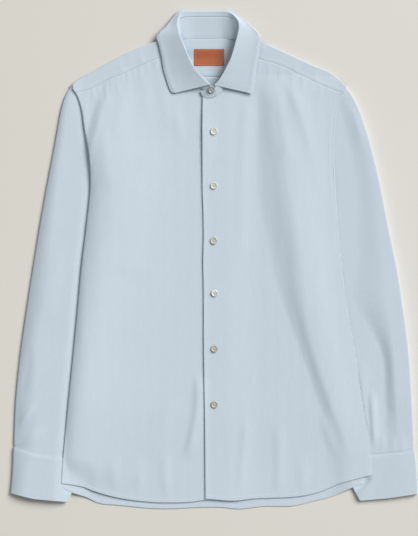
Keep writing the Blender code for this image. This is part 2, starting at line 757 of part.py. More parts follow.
def leaf_points(t):
    """Rows of the leaf from its seam, over the roll and the turn, to its edge."""
    base, roll = collar_lines(t)
    up = roll - base
    gap = LEAF_SEAM_GAP * (1 + 0.6 * tab_share(t))
    seam = base + up * (STAND_SHARE + gap / np.linalg.norm(up, axis=1, keepdims=True))
    seam = seam + tab_share(t) * np.array(TAB_OVER_LIFT)
    roll = roll + tab_share(t) * np.array(TAB_OVER_LIFT) * 0.6
    turn_y = collar_station(LEAF, LEAF_COLUMNS, "turn_y", t, False)
    turn_x = collar_centre(turn_y) + collar_station(LEAF, LEAF_COLUMNS, "turn_x", t, True)
    narrower = LEAF_NARROWER * ease((335 - turn_y) / 70) * (t > 0)
    turn_x = turn_x - narrower
    turn = np.stack([turn_x, turn_y, collar_station(LEAF, LEAF_COLUMNS, "turn_z", t, False)], axis=-1)
    edge_y = collar_station(LEAF, LEAF_COLUMNS, "edge_y", t, False)
    edge_x = collar_centre(edge_y) + collar_station(LEAF, LEAF_COLUMNS, "edge_x", t, True)
    edge_x = edge_x - narrower
    edge_z = np.maximum(collar_station(LEAF, LEAF_COLUMNS, "edge_z", t, False), LEAF_LOWEST)
    edge = np.stack([edge_x, edge_y, edge_z], axis=-1)
    # Behind the neck the leaf turns under the stand, so its underside starts close inside the turn.
    tucked = ease((6.4 - turn[:, 2]) / 2.6)[:, None]
    way = edge - turn
    length = np.linalg.norm(way, axis=1, keepdims=True)
    close = turn + way * np.minimum(2.6 / length, 0.5)
    close[:, 2] = edge[:, 2]
    under = turn + way * 0.4
    under = under + (close - under) * tucked
    drop = turn - roll
    crest = roll + drop * 0.06
    crest[:, 2] = roll[:, 2] + 0.5
    before = roll + drop * 0.45
    before[:, 2] -= 1.4 * (1 - tucked[:, 0])
    near_turn = roll + drop * (0.8 + 0.14 * tucked)
    near_turn[:, 2] += 1.0 * tucked[:, 0] - 0.6 * (1 - tucked[:, 0])
    middle_under = under + (edge - under) * 0.5
    return np.array([seam, roll, crest, before, near_turn, turn, under, middle_under, edge])


def leaf_grid():
    return leaf_points(np.linspace(-1, 1, COLLAR_STATIONS))


# ---------------------------------------------------------------- label and buttons


def label_grid():
    (x1, y1), (x2, y2) = LABEL_BOX
    x, y = np.meshgrid(np.linspace(x1, x2, 5), np.linspace(y1, y2, 4))
    z = base_height(x, y) + CLOTH / 2 + LABEL_CLOTH / 2 + 1.5 * SEAM_GAP
    return np.stack([x, y, z], axis=2)


def button_mesh():
    """A turned four-hole button: flat back, round rim and a dished middle, its back at z = 0."""
    profile = (
        (0.0, 0.0),
        (0.62, 0.0),
        (1.0, 0.35),
        (1.0, 0.72),
        (0.90, 1.0),
        (0.74, 0.98),
        (0.60, 0.70),
        (0.0, 0.66),
    )
    sides = 20
    build = bmesh.new()
    rings = []
    for share, height in profile:
        radius, z = BUTTON_RADIUS * share * MM, BUTTON_HEIGHT * height * MM
        if share == 0:
            rings.append([build.verts.new((0, 0, z))])
            continue
        angles = [2 * math.pi * k / sides for k in range(sides)]
        rings.append([build.verts.new((radius * math.cos(a), radius * math.sin(a), z)) for a in angles])
    for lower, upper in zip(rings, rings[1:]):
        for k in range(sides):
            m = (k + 1) % sides
            ends = [row[n % len(row)] for row, n in ((lower, k), (lower, m), (upper, m), (upper, k))]
            build.faces.new(list(dict.fromkeys(ends)))
    bmesh.ops.recalc_face_normals(build, faces=build.faces)
    mesh = bpy.data.meshes.new("button_blank")
    build.to_mesh(mesh)
    build.free()
    blank = bpy.data.objects.new("button_blank", mesh)
    bpy.context.scene.collection.objects.link(blank)
    for index, (sx, sy) in enumerate(((1, 1), (-1, 1), (-1, -1), (1, -1))):
        drill = bmesh.new()
        bmesh.ops.create_cone(
            drill,
            cap_ends=True,
            segments=6,
            radius1=BUTTON_HOLE_RADIUS * MM,
            radius2=BUTTON_HOLE_RADIUS * MM,
            depth=3 * BUTTON_HEIGHT * MM,
        )
        offset = BUTTON_HOLE_OFFSET * MM
        bmesh.ops.translate(drill, verts=drill.verts, vec=(sx * offset, sy * offset, 0.0))
        cutter_mesh = bpy.data.meshes.new("drill")
        drill.to_mesh(cutter_mesh)
        drill.free()
        cutter = bpy.data.objects.new(f"drill_{index}", cutter_mesh)
        cutter.hide_render = True
        cutter.display_type = "WIRE"
        bpy.context.scene.collection.objects.link(cutter)
        cut = blank.modifiers.new(f"hole_{index}", "BOOLEAN")
        cut.operation = "DIFFERENCE"
        cut.solver = "EXACT"
        cut.object = cutter
    bpy.context.view_layer.update()
    graph = bpy.context.evaluated_depsgraph_get()
    finished = bpy.data.meshes.new_from_object(blank.evaluated_get(graph))
    for helper in [blank] + [o for o in bpy.data.objects if o.name.startswith("drill_")]:
        bpy.data.objects.remove(helper)
    finished.materials.clear()
    finished.materials.append(material("button_finish", BUTTON_COLOUR, 0.25))
    finished.shade_smooth()
    finished.set_sharp_from_angle(angle=math.radians(40))
    return finished


def place_button(name, mesh, place, facing=(0, 0, 1), turn=0.0):
    """A button with its back's centre at the place and its face along the facing direction."""
    made = bpy.data.objects.new(name, mesh)
    bpy.context.scene.collection.objects.link(made)
    tilt = Vector(facing).normalized().to_track_quat("Z", "Y").to_matrix().to_4x4()
    spin = Matrix.Rotation(math.radians(turn), 4, "Z")
    made.matrix_world = Matrix.Translation(Vector(place) * MM) @ tilt @ spin
    return made


def add_buttons():
    mesh = button_mesh()
    for index, (x, y) in enumerate(FRONT_BUTTONS):
        at = np.array([float(x)]), np.array([float(y)])
        z = float(front_height("left", *at)[0]) + CLOTH / 2 + SEAM_GAP + 0.15
        place_button(f"button_front_{index + 1}", mesh, (x, y, z), turn=17 * index)
    stand = stand_grid()
    tab = stand[:, -4]
    low, high = Vector(tab[0]), Vector(tab[2])
    along = Vector(stand[1, -3]) - Vector(stand[1, -6])
    facing = (high - low).cross(along).normalized()
    if facing.z < 0:
        facing = -facing
    centre = low + (high - low) * 0.55 + facing * (COLLAR_CLOTH / 2 + SEAM_GAP)
    place_button("button_neck", mesh, tuple(centre), tuple(facing), turn=30)


# ---------------------------------------------------------------- the shirt


def main():
    for old in list(bpy.data.objects):
        bpy.data.objects.remove(old)
    cloth("back_panel", [(back_grid(), False)])
    cloth("yoke", [(yoke_side("right"), False), (yoke_middle(), False), (yoke_side("left"), False)])
    for side in ("right", "left"):
        cloth(f"front_{side}", [(front_grid(side), False)])
        cloth(f"sleeve_{side}", [(sleeve_grid(side), True)])
        cloth(f"cuff_{side}", [(cuff_grid(side), True)], CUFF_CLOTH)
    cloth("collar_stand", [(stand_grid(), False)], COLLAR_CLOTH)
    cloth("collar_leaf", [(leaf_grid(), False)], COLLAR_CLOTH)
    cloth("neck_label", [(label_grid(), False)], LABEL_CLOTH, LABEL_COLOUR)
    add_buttons()


main()
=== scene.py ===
"""A buttoned needlecord shirt laid flat on a pale floor: thin shells of cloth, with seams and stitches.

The frame: +X is the wearer's left, +Y runs from the hem to the collar, +Z is up from the floor.
Shapes are worked out in millimetres and put into meshes in metres.
"""

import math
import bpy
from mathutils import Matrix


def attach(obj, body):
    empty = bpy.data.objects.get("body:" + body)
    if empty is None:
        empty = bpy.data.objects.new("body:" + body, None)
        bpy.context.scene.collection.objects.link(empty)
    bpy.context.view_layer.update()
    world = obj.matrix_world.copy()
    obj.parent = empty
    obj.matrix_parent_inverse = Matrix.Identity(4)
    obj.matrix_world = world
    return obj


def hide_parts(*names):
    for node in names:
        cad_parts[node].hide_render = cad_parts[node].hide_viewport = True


bl_info = {
    "name": "Needlecord Shirt",
    "version": (1, 0, 0),
    "blender": (4, 5, 0),
    "location": "3D View > Sidebar > Shirt",
    "description": "Makes a buttoned needlecord shirt, laid flat, with its seams, stitches and buttons",
    "category": "Add Mesh",
}

import bmesh
import bpy
import numpy as np
from bpy.props import FloatProperty, FloatVectorProperty, PointerProperty
from mathutils import Matrix, Vector

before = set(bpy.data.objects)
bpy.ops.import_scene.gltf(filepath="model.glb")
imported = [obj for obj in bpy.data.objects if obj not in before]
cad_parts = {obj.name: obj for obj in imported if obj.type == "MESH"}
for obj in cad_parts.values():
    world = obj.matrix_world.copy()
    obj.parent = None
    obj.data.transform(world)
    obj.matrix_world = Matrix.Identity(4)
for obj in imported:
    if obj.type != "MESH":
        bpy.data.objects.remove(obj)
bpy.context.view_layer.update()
MM = 0.001

# ---------------------------------------------------------------- outlines, in millimetres

# Outer lines by height on the shirt. "body" is the armhole above y = 120 and the side below it.
SIDE_COLUMNS = ("y", "right_sleeve", "right_body", "left_body", "left_sleeve")
SIDES = (
    (-368, -318, -239, 250, 318),
    (-338, -315, -238, 248, 317),
    (-292, -313, -234, 244, 313),
    (-220, -310, -227, 234, 309),
    (-142, -302, -219, 220, 304),
    (-79, -293, -213, 209, 296),
    (-14, -283, -207, 200, 286),
    (54, -272, -199, 194, 272),
    (116, -261, -193, 190, 260),
    (163, -252, -195, 188, 249),
    (202, -245, -202, 189, 238),
    (234, -239, -207, 193, 227),
    (256, -232, -214, 202, 216),
    (268, -225, -222, 209, 207),
)
# The hidden inner edge of each sleeve, from the cuff to the underarm.
INNER_COLUMNS = ("y", "right", "left")
INNER = (
    (-368, -219, 215), (-338, -216, 212), (-296, -208, 206), (-220, -193, 185),
    (-142, -175, 161), (-79, -161, 143), (-14, -138, 125), (54, -114, 110), (116, -97, 96),
    (163, -85, 85),
)
SLEEVE_TOP = {"right": ((-220, 271.5), (-85, 143)), "left": ((205, 270.5), (85, 143))}
# Lines of (x, y) points.
SHOULDER = {
    "right": (
        (-222, 271), (-218, 276), (-207, 284), (-185, 296), (-147, 317),
        (-121, 329), (-89, 341), (-70, 345), (-50, 346),
    ),
    "left": (
        (36, 346), (55, 345), (72, 341), (99, 329), (125, 317),
        (158, 302), (185, 290), (200, 276), (208, 267),
    ),
}
FRONT_SEAM = {
    "right": (
        (-219, 260), (-210, 262), (-193, 267), (-164, 282),
        (-132, 295), (-105, 308), (-81, 318), (-53, 331),
    ),
    "left": ((39, 324), (70, 314), (105, 303), (143, 285), (180, 268), (207, 258)),
}
HEMS = {
    "front_right": (
        (-240, -350.5), (-216, -354), (-203, -357), (-189, -362.5), (-152, -373),
        (-100, -380), (-60, -381), (-36, -380), (-14, -377), (20, -377),
    ),
    "front_left": (
        (-20, -375), (-13, -375), (31, -378), (60, -375), (125, -372), (147, -369),
        (174, -361), (194, -352), (215, -346), (252, -336),
    ),
    "back": (
        (-240, -356), (-223, -365), (-199, -373), (-182, -381.5), (-152, -385), (-131, -387), (-100, -390),
        (-63, -390.5), (-25, -388.5), (13, -388.5), (39, -391), (77, -387), (125, -386), (155, -379),
        (183, -372), (215, -358), (229, -353), (252, -341),
    ),
}
CUFF_SEAM = {
    "right": ((-314, -293), (-291, -301), (-279, -305), (-238, -310), (-205, -311)),
    "left": ((203, -308), (244, -306), (273, -303), (293, -301), (316, -296)),
}
CUFF_BOTTOM = {
    "right": ((-319, -366), (-282, -375), (-229, -380), (-224, -370), (-221, -360)),
    "left": ((216, -355), (222, -366), (228.5, -378), (274, -374), (319, -367)),
}
# Lines of (y, x) points: the placket edge that shows, and the collar's own leaning centre line.
PLACKET_EDGE = (
    (-380, -13.3), (-252, -14.3), (-142, -16), (-33, -16.4), (-2, -17.2), (30, -16.2), (62, -16.4),
    (109, -18), (170, -18.3), (218, -18.3), (262, -17.5),
)
COLLAR_CENTRE = (
    (258, -1), (281, -3.5), (296, -5.5), (317, -6.3), (345, -8), (370, -9.5), (388, -14),
)

# ---------------------------------------------------------------- drape, in millimetres

# The left front's rise over the hidden sleeve, from the middle outwards, and its slower rise beyond that.
RISE_LEFT_COLUMNS = ("y", "centre", "half_width", "rise", "tail")
RISE_LEFT = (
    (-360, 218, 12, 2.6, 1.5),
    (-283, 196, 11, 3.8, 4),
    (-220, 172, 11, 4, 4.6),
    (-142, 145, 12, 3.8, 4.2),
    (-64, 123, 19, 5.6, 2.2),
    (15, 110, 27, 7.2, 0.8),
    (93, 95, 27, 7, 0.6),
    (155, 88, 24, 5.8, 0.8),
    (202, 80, 16, 4.4, 1.6),
    (242, 79, 14, 3.6, 1.6),
    (262, 76, 13, 2.2, 1),
    (288, 73, 14, 0, 0),
)
# The right front's rise: highest at its crest, and dying away towards the middle.
RISE_RIGHT_COLUMNS = ("y", "crest", "rise")
RISE_RIGHT = (
    (-360, -236, 9.6), (-283, -225, 12.6), (-220, -214, 14), (-142, -205, 14.4),
    (-64, -185, 14.4), (15, -171, 14.2), (93, -152, 13.2), (155, -150, 11.6), (202, -152, 9),
    (240, -152, 5.6), (268, -152, 2.6), (300, -152, 0.8),
)
# The right front's step beside the armhole: where it is and how high.
STEP_COLUMNS = ("y", "place", "height")
STEP_RIGHT = (
    (70, -208, 0), (110, -206, 1.6), (150, -202, 3.4), (179, -197, 4.2), (202, -190, 4.4),
    (221, -186, 4), (241, -180, 3.2), (257, -173, 2.2), (284, -162, 0.8), (300, -158, 0),
)
# A sleeve's upper layer: on the right a rounded edge this wide and high, on the left an outer part this much
# higher, its middle line this far in and its slope this wide.
PUFF_COLUMNS = ("y", "place", "width", "height")
PUFF = {
    "right": (
        (-375, 0, 24, 6.4), (-338, 0, 24, 6.4), (-290, 0, 36, 6.6), (-220, 0, 33, 7.4),
        (-142, 0, 25, 7.4), (-64, 0, 27, 7.8), (15, 0, 24, 7), (93, 0, 18, 5.4),
        (155, 0, 13, 3.8), (241, 0, 9, 2.4), (268, 0, 8, 1),
    ),
    "left": (
        (-375, 40, 70, 2.2), (-320, 40, 70, 2.2), (-285, 34, 30, 1.6), (-255, 33, 22, 2.8),
        (-220, 33, 19, 4.4), (-142, 34, 20, 4.9), (-100, 42, 38, 4.7), (-64, 50, 54, 4.5),
        (15, 37, 40, 3.4), (93, 25, 34, 2.8), (155, 21, 30, 2.3), (202, 21, 28, 2.3),
        (241, 20, 18, 1.2), (268, 16, 14, 0.4),
    ),
}
PUFF_CLEAR = (-26.0, 15.0)  # a sleeve sinks to its pressed height between these distances past the body
# Gathers just under the yoke's front seams. Each row: x, height and length.
GATHERS = {
    "right": (
        (-190, 0.5, 24), (-181, 0.35, 34), (-171, 0.6, 44), (-162, 0.4, 26), (-153, 0.5, 38),
        (-145, 0.35, 24), (-136, 0.5, 32), (-126, 0.35, 22), (-117, 0.45, 30), (-105, 0.3, 24),
        (-92, 0.35, 26), (-79, 0.25, 20),
    ),
    "left": (
        (72, 0.3, 26), (88, 0.35, 40), (106, 0.35, 34), (124, 0.3, 26), (140, 0.4, 30), (155, 0.3, 22),
        (168, 0.45, 34), (180, 0.35, 24), (190, 0.5, 28), (197, 0.3, 18),
    ),
}
# Creases: a line from one point to another, bowed sideways, with a soft bell across it. "lean" above 0 makes
# its flank on the right of the way along it the steeper one.
# Each row: x1, y1, x2, y2, bow, start width, end width, height and lean.
CREASES = {
    "front_right": (
        (-139, 292, -152, 178, 0.5, 9, 12, 0.5, -0.4),
        (-106, 300, -106, 205, 0, 8, 10, 0.5, 0),
        (-203, 262, -199, 200, 1, 4, 4, 0.6, 0),
        (-84, 306, -62, 190, 4, 9, 14, 0.6, 0),
        (-62, 262, -46, 170, 2, 7, 9, 0.5, 0),
        (-169, 215, -163, 100, 4, 8, 11, 0.8, 0),
        (-100, 190, -138, -40, 8, 22, 30, 0.9, 0),
        (-26, -170, -46, -318, -9, 8, 9, 1.9, -0.3),
        (-62, -200, -88, -330, 4, 14, 16, 0.6, 0),
        (-158, -292, -150, -374, 3, 9, 9, 0.6, 0),
        (-186, -316, -186, -366, 0, 7, 6, 0.5, 0),
        (-122, -300, -118, -380, -2, 9, 8, 0.5, 0),
        (-76, -290, -73, -384, 2, 9, 9, 0.9, 0),
        (-205, 40, -208, -150, 0, 7, 7, 0.5, 0),
    ),
    "front_left": (
        (94, 290, 119, 140, 1, 8, 10, 0.8, 0),
        (112, 286, 171, 98, -6, 9, 12, 1.3, -0.2),
        (52, 262, 37, -10, 4, 10, 13, 1.5, -0.2),
        (30, 30, 33, -60, -2, 8, 8, 0.5, 0),
        (52, -238, 33, -378, -2, 8, 7, 1.4, -0.2),
        (24, -296, 27, -372, 0, 5, 5, 0.9, 0),
        (99, -244, 98, -376, -3, 10, 9, 1.1, -0.2),
        (138, -300, 137, -374, 0, 9, 8, 0.9, -0.2),
        (170, -230, 222, -350, 7, 10, 9, 1.4, -0.2),
        (194, 60, 214, -180, 0, 9, 9, 0.7, 0),
        (160, 60, 186, -150, 6, 14, 16, 0.6, 0),
    ),
    "sleeve_right": (
        (-286, -130, -304, -222, -3, 8, 7, -0.9, 0),
        (-276, -218, -312, -270, 0, 6, 7, 1.6, 0.3),
        (-258, -258, -308, -298, 0, 7, 7, 1.4, 0),
        (-262, 160, -286, -20, 0, 10, 12, 0.7, 0),
        (-240, 30, -262, -110, 2, 12, 14, 0.6, 0),
    ),
    "sleeve_left": (
        (216, 248, 230, 160, -4, 8, 12, 0.6, -0.3),
        (246, -196, 252, -304, 0, 6, 5, 1.8, -0.3),
        (266, -262, 262, -310, 0, 5, 5, 0.5, 0),
        (281, -268, 280, -310, 0, 5, 5, 0.4, 0),
        (294, -272, 296, -310, 0, 5, 5, 0.4, 0),
        (232, -150, 238, -290, 3, 10, 9, 0.8, 0),
    ),
    "back": (
        (-90, 240, -70, -120, 14, 26, 30, -0.2, 0),
        (60, 200, 84, -160, -12, 26, 30, -0.2, 0),
    ),
}

# ---------------------------------------------------------------- collar, in millimetres

# From the middle of the back to the button: half widths from the collar's centre line.
STAND_COLUMNS = ("base_x", "base_y", "roll_x", "roll_y", "right_roll_z", "left_roll_z")
STAND = (
    (0, 344, 0, 387, 5.4, 5.4),
    (18.8, 344, 18.8, 387, 5.6, 5.8),
    (34, 344, 35, 386, 7, 8.4),
    (43.2, 344, 43.2, 380, 8.8, 14),
    (47.4, 340, 48, 368, 12.2, 19),
    (46.2, 329, 45.9, 352, 15.8, 21.6),
    (42.3, 315, 40.7, 336, 16.8, 22),
    (36, 300, 34.1, 317, 17, 20.8),
    (27.4, 282, 24.7, 298, 16.6, 18.6),
    (16.5, 267, 15.2, 285, 15.8, 16.2),
    (5.5, 257.6, 3.6, 272.5, 15, 13.7),
)
LEAF_COLUMNS = (
    "turn_x", "turn_y", "edge_x", "edge_y", "right_turn_z", "left_turn_z", "right_edge_z", "left_edge_z",
)
LEAF = (
    (0, 389.5, 0, 338, 2.4, 2.4, 0.9, 0.9),
    (20, 389.5, 19, 338, 2.4, 2.6, 0.9, 0.9),
    (39, 389, 36.5, 338, 2.8, 4.6, 0.9, 0.9),
    (52.5, 378, 50, 340, 5.4, 12.2, 0.9, 0.9),
    (66, 364, 64.5, 346, 8.6, 17.2, 2.4, 2.4),
    (77, 352.5, 81, 349.5, 10.2, 18.6, 8.8, 16.6),
    (75, 332.5, 78.5, 332, 10, 17.8, 8.6, 16.6),
    (71.5, 312.8, 75.4, 312, 9.2, 15.8, 7.7, 14.6),
    (68.4, 291.8, 72.8, 291, 9, 13.6, 7.6, 12.4),
    (64.5, 273.4, 69.4, 272, 9.2, 11.9, 7.9, 10.7),
    (59, 260, 64.8, 258, 9.4, 10.8, 8.1, 9.6),
)
LEAF_NARROWER = 4.5  # the left point lies this much closer to the middle
BASE_OUT = {"right": 3.0, "left": -3.0}  # how much further out the stand's base lies beside the neck
STAND_SHARE = 0.82
LEAF_SEAM_GAP = 0.2
TAB_OVER_LIFT = (0.0, -1.5, 1.25)
TAB_UNDER_LIFT = (0.0, -0.9, 0.8)

# ---------------------------------------------------------------- buttons and threads

FRONT_BUTTON_NODES = tuple(f"button_front_{number}" for number in range(1, 7))
# A turned button's profile as (radius, height) shares, from the middle of its back to the middle of its face.
BUTTON_PROFILE = (
    (0, 0), (0.55, 0), (0.80, 0.06), (0.94, 0.20), (1, 0.42), (0.995, 0.62), (0.96, 0.82),
    (0.90, 0.96), (0.82, 1), (0.74, 0.97), (0.68, 0.86), (0.62, 0.74), (0.52, 0.68), (0.30, 0.66),
    (0, 0.66),
)
BUTTON_SIDES = 48
# Each row: node, turn, tip about X and about Y in degrees, and which pearl it is cut from.
BUTTONS = (
    # Its pearl is the darker last one: painted shade from under the collar.
    ("button_neck", 30, 0, 0, 4),
    ("button_front_1", 12, 3, -2, 0),
    ("button_front_2", 40, -2, 3, 0),
    ("button_front_3", 68, 2, 4, 1),
    ("button_front_4", 22, -3, -3, 3),
    ("button_front_5", 55, 3, 3, 2),
    ("button_front_6", 8, -2, 2, 2),
)
STITCH_SIDES = 6
STITCH_SHARE = 0.72  # how much of its pitch a stitch takes up
# One stitch along its own length: place along it, share of the thread's radius, and how far it sinks.
STITCH_COLUMNS = ("along", "radius", "sink")
STITCH = ((-0.5, 0.45, 0.9), (-0.34, 0.9, 0.25), (0.34, 0.9, 0.25), (0.5, 0.45, 0.9))


# ---------------------------------------------------------------- the add-on's body


def length_setting(name, description, default):
    """A length in the sidebar."""
    return FloatProperty(name=name, description=description, default=default, unit="LENGTH")


def angle_setting(name, description, degrees):
    """An angle in the sidebar, given in degrees."""
    return FloatProperty(name=name, description=description, default=math.radians(degrees), subtype="ANGLE")


def colour_setting(name, description, default):
    """A colour in the sidebar."""
    return FloatVectorProperty(name=name, description=description, default=default, subtype="COLOR")


class ShirtSizes(bpy.types.PropertyGroup):
    """Sizes shared by the cloth pieces."""

    wall: length_setting("Cloth", "Thickness of one layer of cloth", 0.001)
    collar_wall: length_setting("Collar", "Thickness of the stand and the leaf", 0.0014)
    cuff_wall: length_setting("Cuff", "Thickness of a cuff's layer", 0.0014)
    label_wall: length_setting("Label", "Thickness of the label's tape", 0.0006)
    loft: length_setting("Loft", "Air between back and front in the middle", 0.0032)
    hem_loft: length_setting("Loft at the hem", "Air between back and front at the hem", 0.0009)
    inner_fold: length_setting("Inner fold", "Radius of a sleeve's hidden fold", 0.0012)
    thread: length_setting("Thread", "Radius of the sewing thread", 0.00026)
    stitch: length_setting("Stitch", "From one stitch to the next", 0.003)
    button_radius: length_setting("Button", "Radius of a button", 0.0056)
    button_height: length_setting("Button height", "Height of a button", 0.0023)


class ShirtLooks(bpy.types.PropertyGroup):
    """Colours and the cord's pitch."""

    cloth: colour_setting("Cloth", "Colour of the cord", (0.578, 0.668, 0.742))
    thread: colour_setting("Thread", "Colour of the thread", (0.60, 0.68, 0.74))
    label: colour_setting("Label", "Colour of the label", (0.455, 0.127, 0.046))
    label_thread: colour_setting("Label thread", "Colour of its stitched border", (0.66, 0.36, 0.22))
    wale: length_setting("Wale", "From one cord to the next", 0.00145)
    wale_depth: length_setting("Wale depth", "Height of a cord", 0.00022)


class ShirtStage(bpy.types.PropertyGroup):
    """Floor, lamp and view."""

    # The two floor colours differ by painted light falloff: darker on the left, brighter on the right.
    floor_shaded_left: colour_setting("Floor, left", "Colour of the floor on the left", (0.680, 0.660, 0.600))
    floor_lit_right: colour_setting("Floor, right", "Colour of the floor on the right", (0.725, 0.705, 0.665))
    lamp_share: FloatProperty(
        name="Lamp", description="Share of the light that comes from the lamp", default=0.68, subtype="FACTOR"
    )
    lamp_azimuth: angle_setting("Lamp's direction", "Turn from +X towards +Y", 38)
    lamp_elevation: angle_setting("Lamp's height", "Angle over the floor", 40)
    lamp_angle: angle_setting("Lamp's width", "Angle the lamp fills", 36)
    view_height: length_setting("View height", "Height of the camera", 5.0)
    view_length: length_setting("View length", "Length of floor in view", 0.8394)


def size(name):
    """A size from the sidebar, in millimetres."""
    return getattr(bpy.context.scene.shirt_sizes, name) / MM


# ---------------------------------------------------------------- curves


def column(rows, columns, name):
    """One named column of a table."""
    return np.array([row[columns.index(name)] for row in rows], float)


def cubic(t, start, end, start_slope, end_slope):
    """The cubic that runs from start at t = 0 to end at t = 1 with these slopes."""
    return (
        start * (2 * t**3 - 3 * t**2 + 1)
        + start_slope * (t**3 - 2 * t**2 + t)
        + end * (3 * t**2 - 2 * t**3)
        + end_slope * (t**3 - t**2)
    )


def smooth_curve(keys, values, at):
    """The values as a smooth function of rising keys: cubic pieces whose slopes are the neighbours' mean."""
    keys, values = np.asarray(keys, float), np.asarray(values, float)
    at = np.clip(at, keys[0], keys[-1])
    steps = np.diff(values) / np.diff(keys)
    slopes = np.concatenate([steps[:1], (steps[:-1] + steps[1:]) / 2, steps[-1:]])
    i = np.clip(np.searchsorted(keys, at, side="right") - 1, 0, len(keys) - 2)
    width = keys[i + 1] - keys[i]
    t = (at - keys[i]) / width
    return cubic(t, values[i], values[i + 1], slopes[i] * width, slopes[i + 1] * width)


def line_of(points, at):
    """The second value of a line of points where the first is this; the points may run either way."""
    ordered = sorted(points)
    return smooth_curve([p[0] for p in ordered], [p[1] for p in ordered], at)


def ease(t):
    """0 below 0, 1 above 1, and 3t^2 - 2t^3 between."""
    t = np.clip(t, 0, 1)
    return t * t * (3 - 2 * t)


def bell(t):
    """1 at 0 and dying away on both sides: the exponential of -t^2."""
    return np.exp(-t * t)


def larger(a, b, soft):
    """The larger of two heights, with the corner between them rounded over this much."""
    return (a + b + np.sqrt((a - b) ** 2 + soft**2)) / 2


def outward(side):
    """The direction of X away from the middle."""
    return -1.0 if side == "right" else 1.0


def by_height(rows, columns, name, y):
    """A named column of a table as a smooth function of its "y" column."""
    return smooth_curve(column(rows, columns, "y"), column(rows, columns, name), y)


def side_x(name, y):
    """The outer line of this name at these heights."""
    return by_height(SIDES, SIDE_COLUMNS, name, y)


def past_body(side, x, y):
    """How far outside the body's edge a point is: below 0 under the body."""
    return outward(side) * (x - side_x(side + "_body", y))


def inner_x(side, y):
    """The sleeve's inner edge, carried on in a straight line above the underarm."""
    keys = column(INNER, INNER_COLUMNS, "y")
    values = column(INNER, INNER_COLUMNS, side)
    slope = (values[-1] - values[-2]) / (keys[-1] - keys[-2])
    return smooth_curve(keys, values, y) + slope * np.maximum(np.asarray(y, float) - keys[-1], 0)


# ---------------------------------------------------------------- heights of the lying cloth

CREASE_FADE = 38.0  # how far a crease takes to come up from nothing
OUTER_FOLD = {"right": (1.5, 1.2), "left": (0.35, 2.4)}  # plan width and half height of a sleeve's outer fold
REST_HALF = {"right": (0.8, 0.8), "left": (2.4, 0.9)}  # half height of a sleeve, shown and covered
UNDER_BODY = (-12.0, 1.2)  # a sleeve goes from one to the other between these distances past the body's edge
SLEEVE_SETTLE = 26.0  # how fast a sleeve's outer fold dies away
INNER_SETTLE = 8.0
CLIMB_BEFORE, CLIMB_AFTER = 34.0, 6.0  # the body climbs over a sleeve's edge between these distances
UNDER_GAP = 0.4  # between the back and a sleeve under it
OVER_GAP = 0.5  # the least air between back and front
FLAP_STEP = 0.05  # the yoke's flap over the front it is joined to
ARMHOLE_INSET = 14.0  # the back's armhole is cut further in than the front's
ARMHOLE_LOW, ARMHOLE_HIGH = 118.0, 300.0
ARMHOLE_EASE = 78.0
ARMHOLE_RAISE = 0.45  # the front's edge over the sleeve it is sewn to
SIDE_FALL, SIDE_FALL_LENGTH = 7.5, 12.0  # how much the right front falls to its side, and how fast
STEP_WIDTH = 17.0
HEM_SETTLE, HEM_SETTLE_LENGTH = 0.72, 46.0  # how much of its rise the front loses on its way down to the hem
RISE_FADE = 65.0
CREST_SOFT = 8.0
PLACKET_UNDER = 15.0  # how far the right front runs on past the button line
PLACKET_GAP = 1.1  # air between the two fronts
PLACKET_LIP = 0.6
PLACKET_STEP = (14.0, 74.0)  # where the left front comes back down
PLACKET_LIFT, PLACKET_LIFT_Y, PLACKET_LIFT_LENGTH = 1.3, 198.0, 52.0
NECK_LIFT, NECK_LIFT_HALF = 3.2, 96.0
BACK_SEAM_Y, BACK_SEAM_DROP = 286.0, 38.0


def creases(x, y, rows):
    """Soft folds: a bell across a bowed line, one flank steeper, coming up from nothing at both ends."""
    total = np.zeros(np.broadcast(x, y).shape)
    for x1, y1, x2, y2, bow, start_width, end_width, height, lean in rows:
        length = math.hypot(x2 - x1, y2 - y1)
        along = ((x - x1) * (x2 - x1) + (y - y1) * (y2 - y1)) / length
        share = np.clip(along / length, 0, 1)
        across = ((x - x1) * (y2 - y1) - (y - y1) * (x2 - x1)) / length - 4 * bow * share * (1 - share)
        width = start_width + (end_width - start_width) * share
        width = width * (1 + lean * np.tanh(across / width))
        fade = min(CREASE_FADE, length / 2)
        ends = ease(along / fade) * ease((length - along) / fade)
        total = total + height * ends * bell(across / width)
    return total


def puff(side, from_outer, x, y):
    """Extra height of a sleeve: a rounded edge on the right, a higher outer part on the left."""
    place, width, height = (by_height(PUFF[side], PUFF_COLUMNS, name, y) for name in PUFF_COLUMNS[1:])
    if side == "right":
        full = 1 - (1 - np.clip(from_outer / width, 0, 1)) ** 2
    else:
        full = 1 - ease((from_outer - place) / width + 0.5)
    near, far = PUFF_CLEAR
    return height * full * ease((past_body(side, x, y) - near) / (far - near))


def flat_half(halves, clear):
    """From a covered to a shown half height, by the distance clear of the body's edge."""
    shown, covered = halves
    near, far = UNDER_BODY
    return covered + (shown - covered) * ease((clear - near) / (far - near))


def pressed_half(side, from_outer, from_inner, x, y):
    """Half height of a sleeve: its two folds, each settling to the height it rests at, and its puff."""
    fold_width, fold_half = OUTER_FOLD[side]
    inner_fold = size("inner_fold")
    flat = flat_half(REST_HALF[side], past_body(side, x, y))
    past_outer = np.maximum(from_outer - fold_width, 0) / SLEEVE_SETTLE
    past_inner = np.maximum(from_inner - inner_fold, 0) / INNER_SETTLE
    folds = (fold_half - flat) * bell(past_outer) + (inner_fold - flat) * bell(past_inner)
    return flat + folds + puff(side, from_outer, x, y) / 2


def sleeve_upper(side, x, y):
    """Mid-height of a sleeve's upper layer."""
    sign = outward(side)
    from_outer = sign * (side_x(side + "_sleeve", y) - x)
    from_inner = sign * (x - inner_x(side, y))
    half = pressed_half(side, from_outer, from_inner, x, y)
    return size("wall") / 2 + 2 * half + creases(x, y, CREASES["sleeve_" + side])


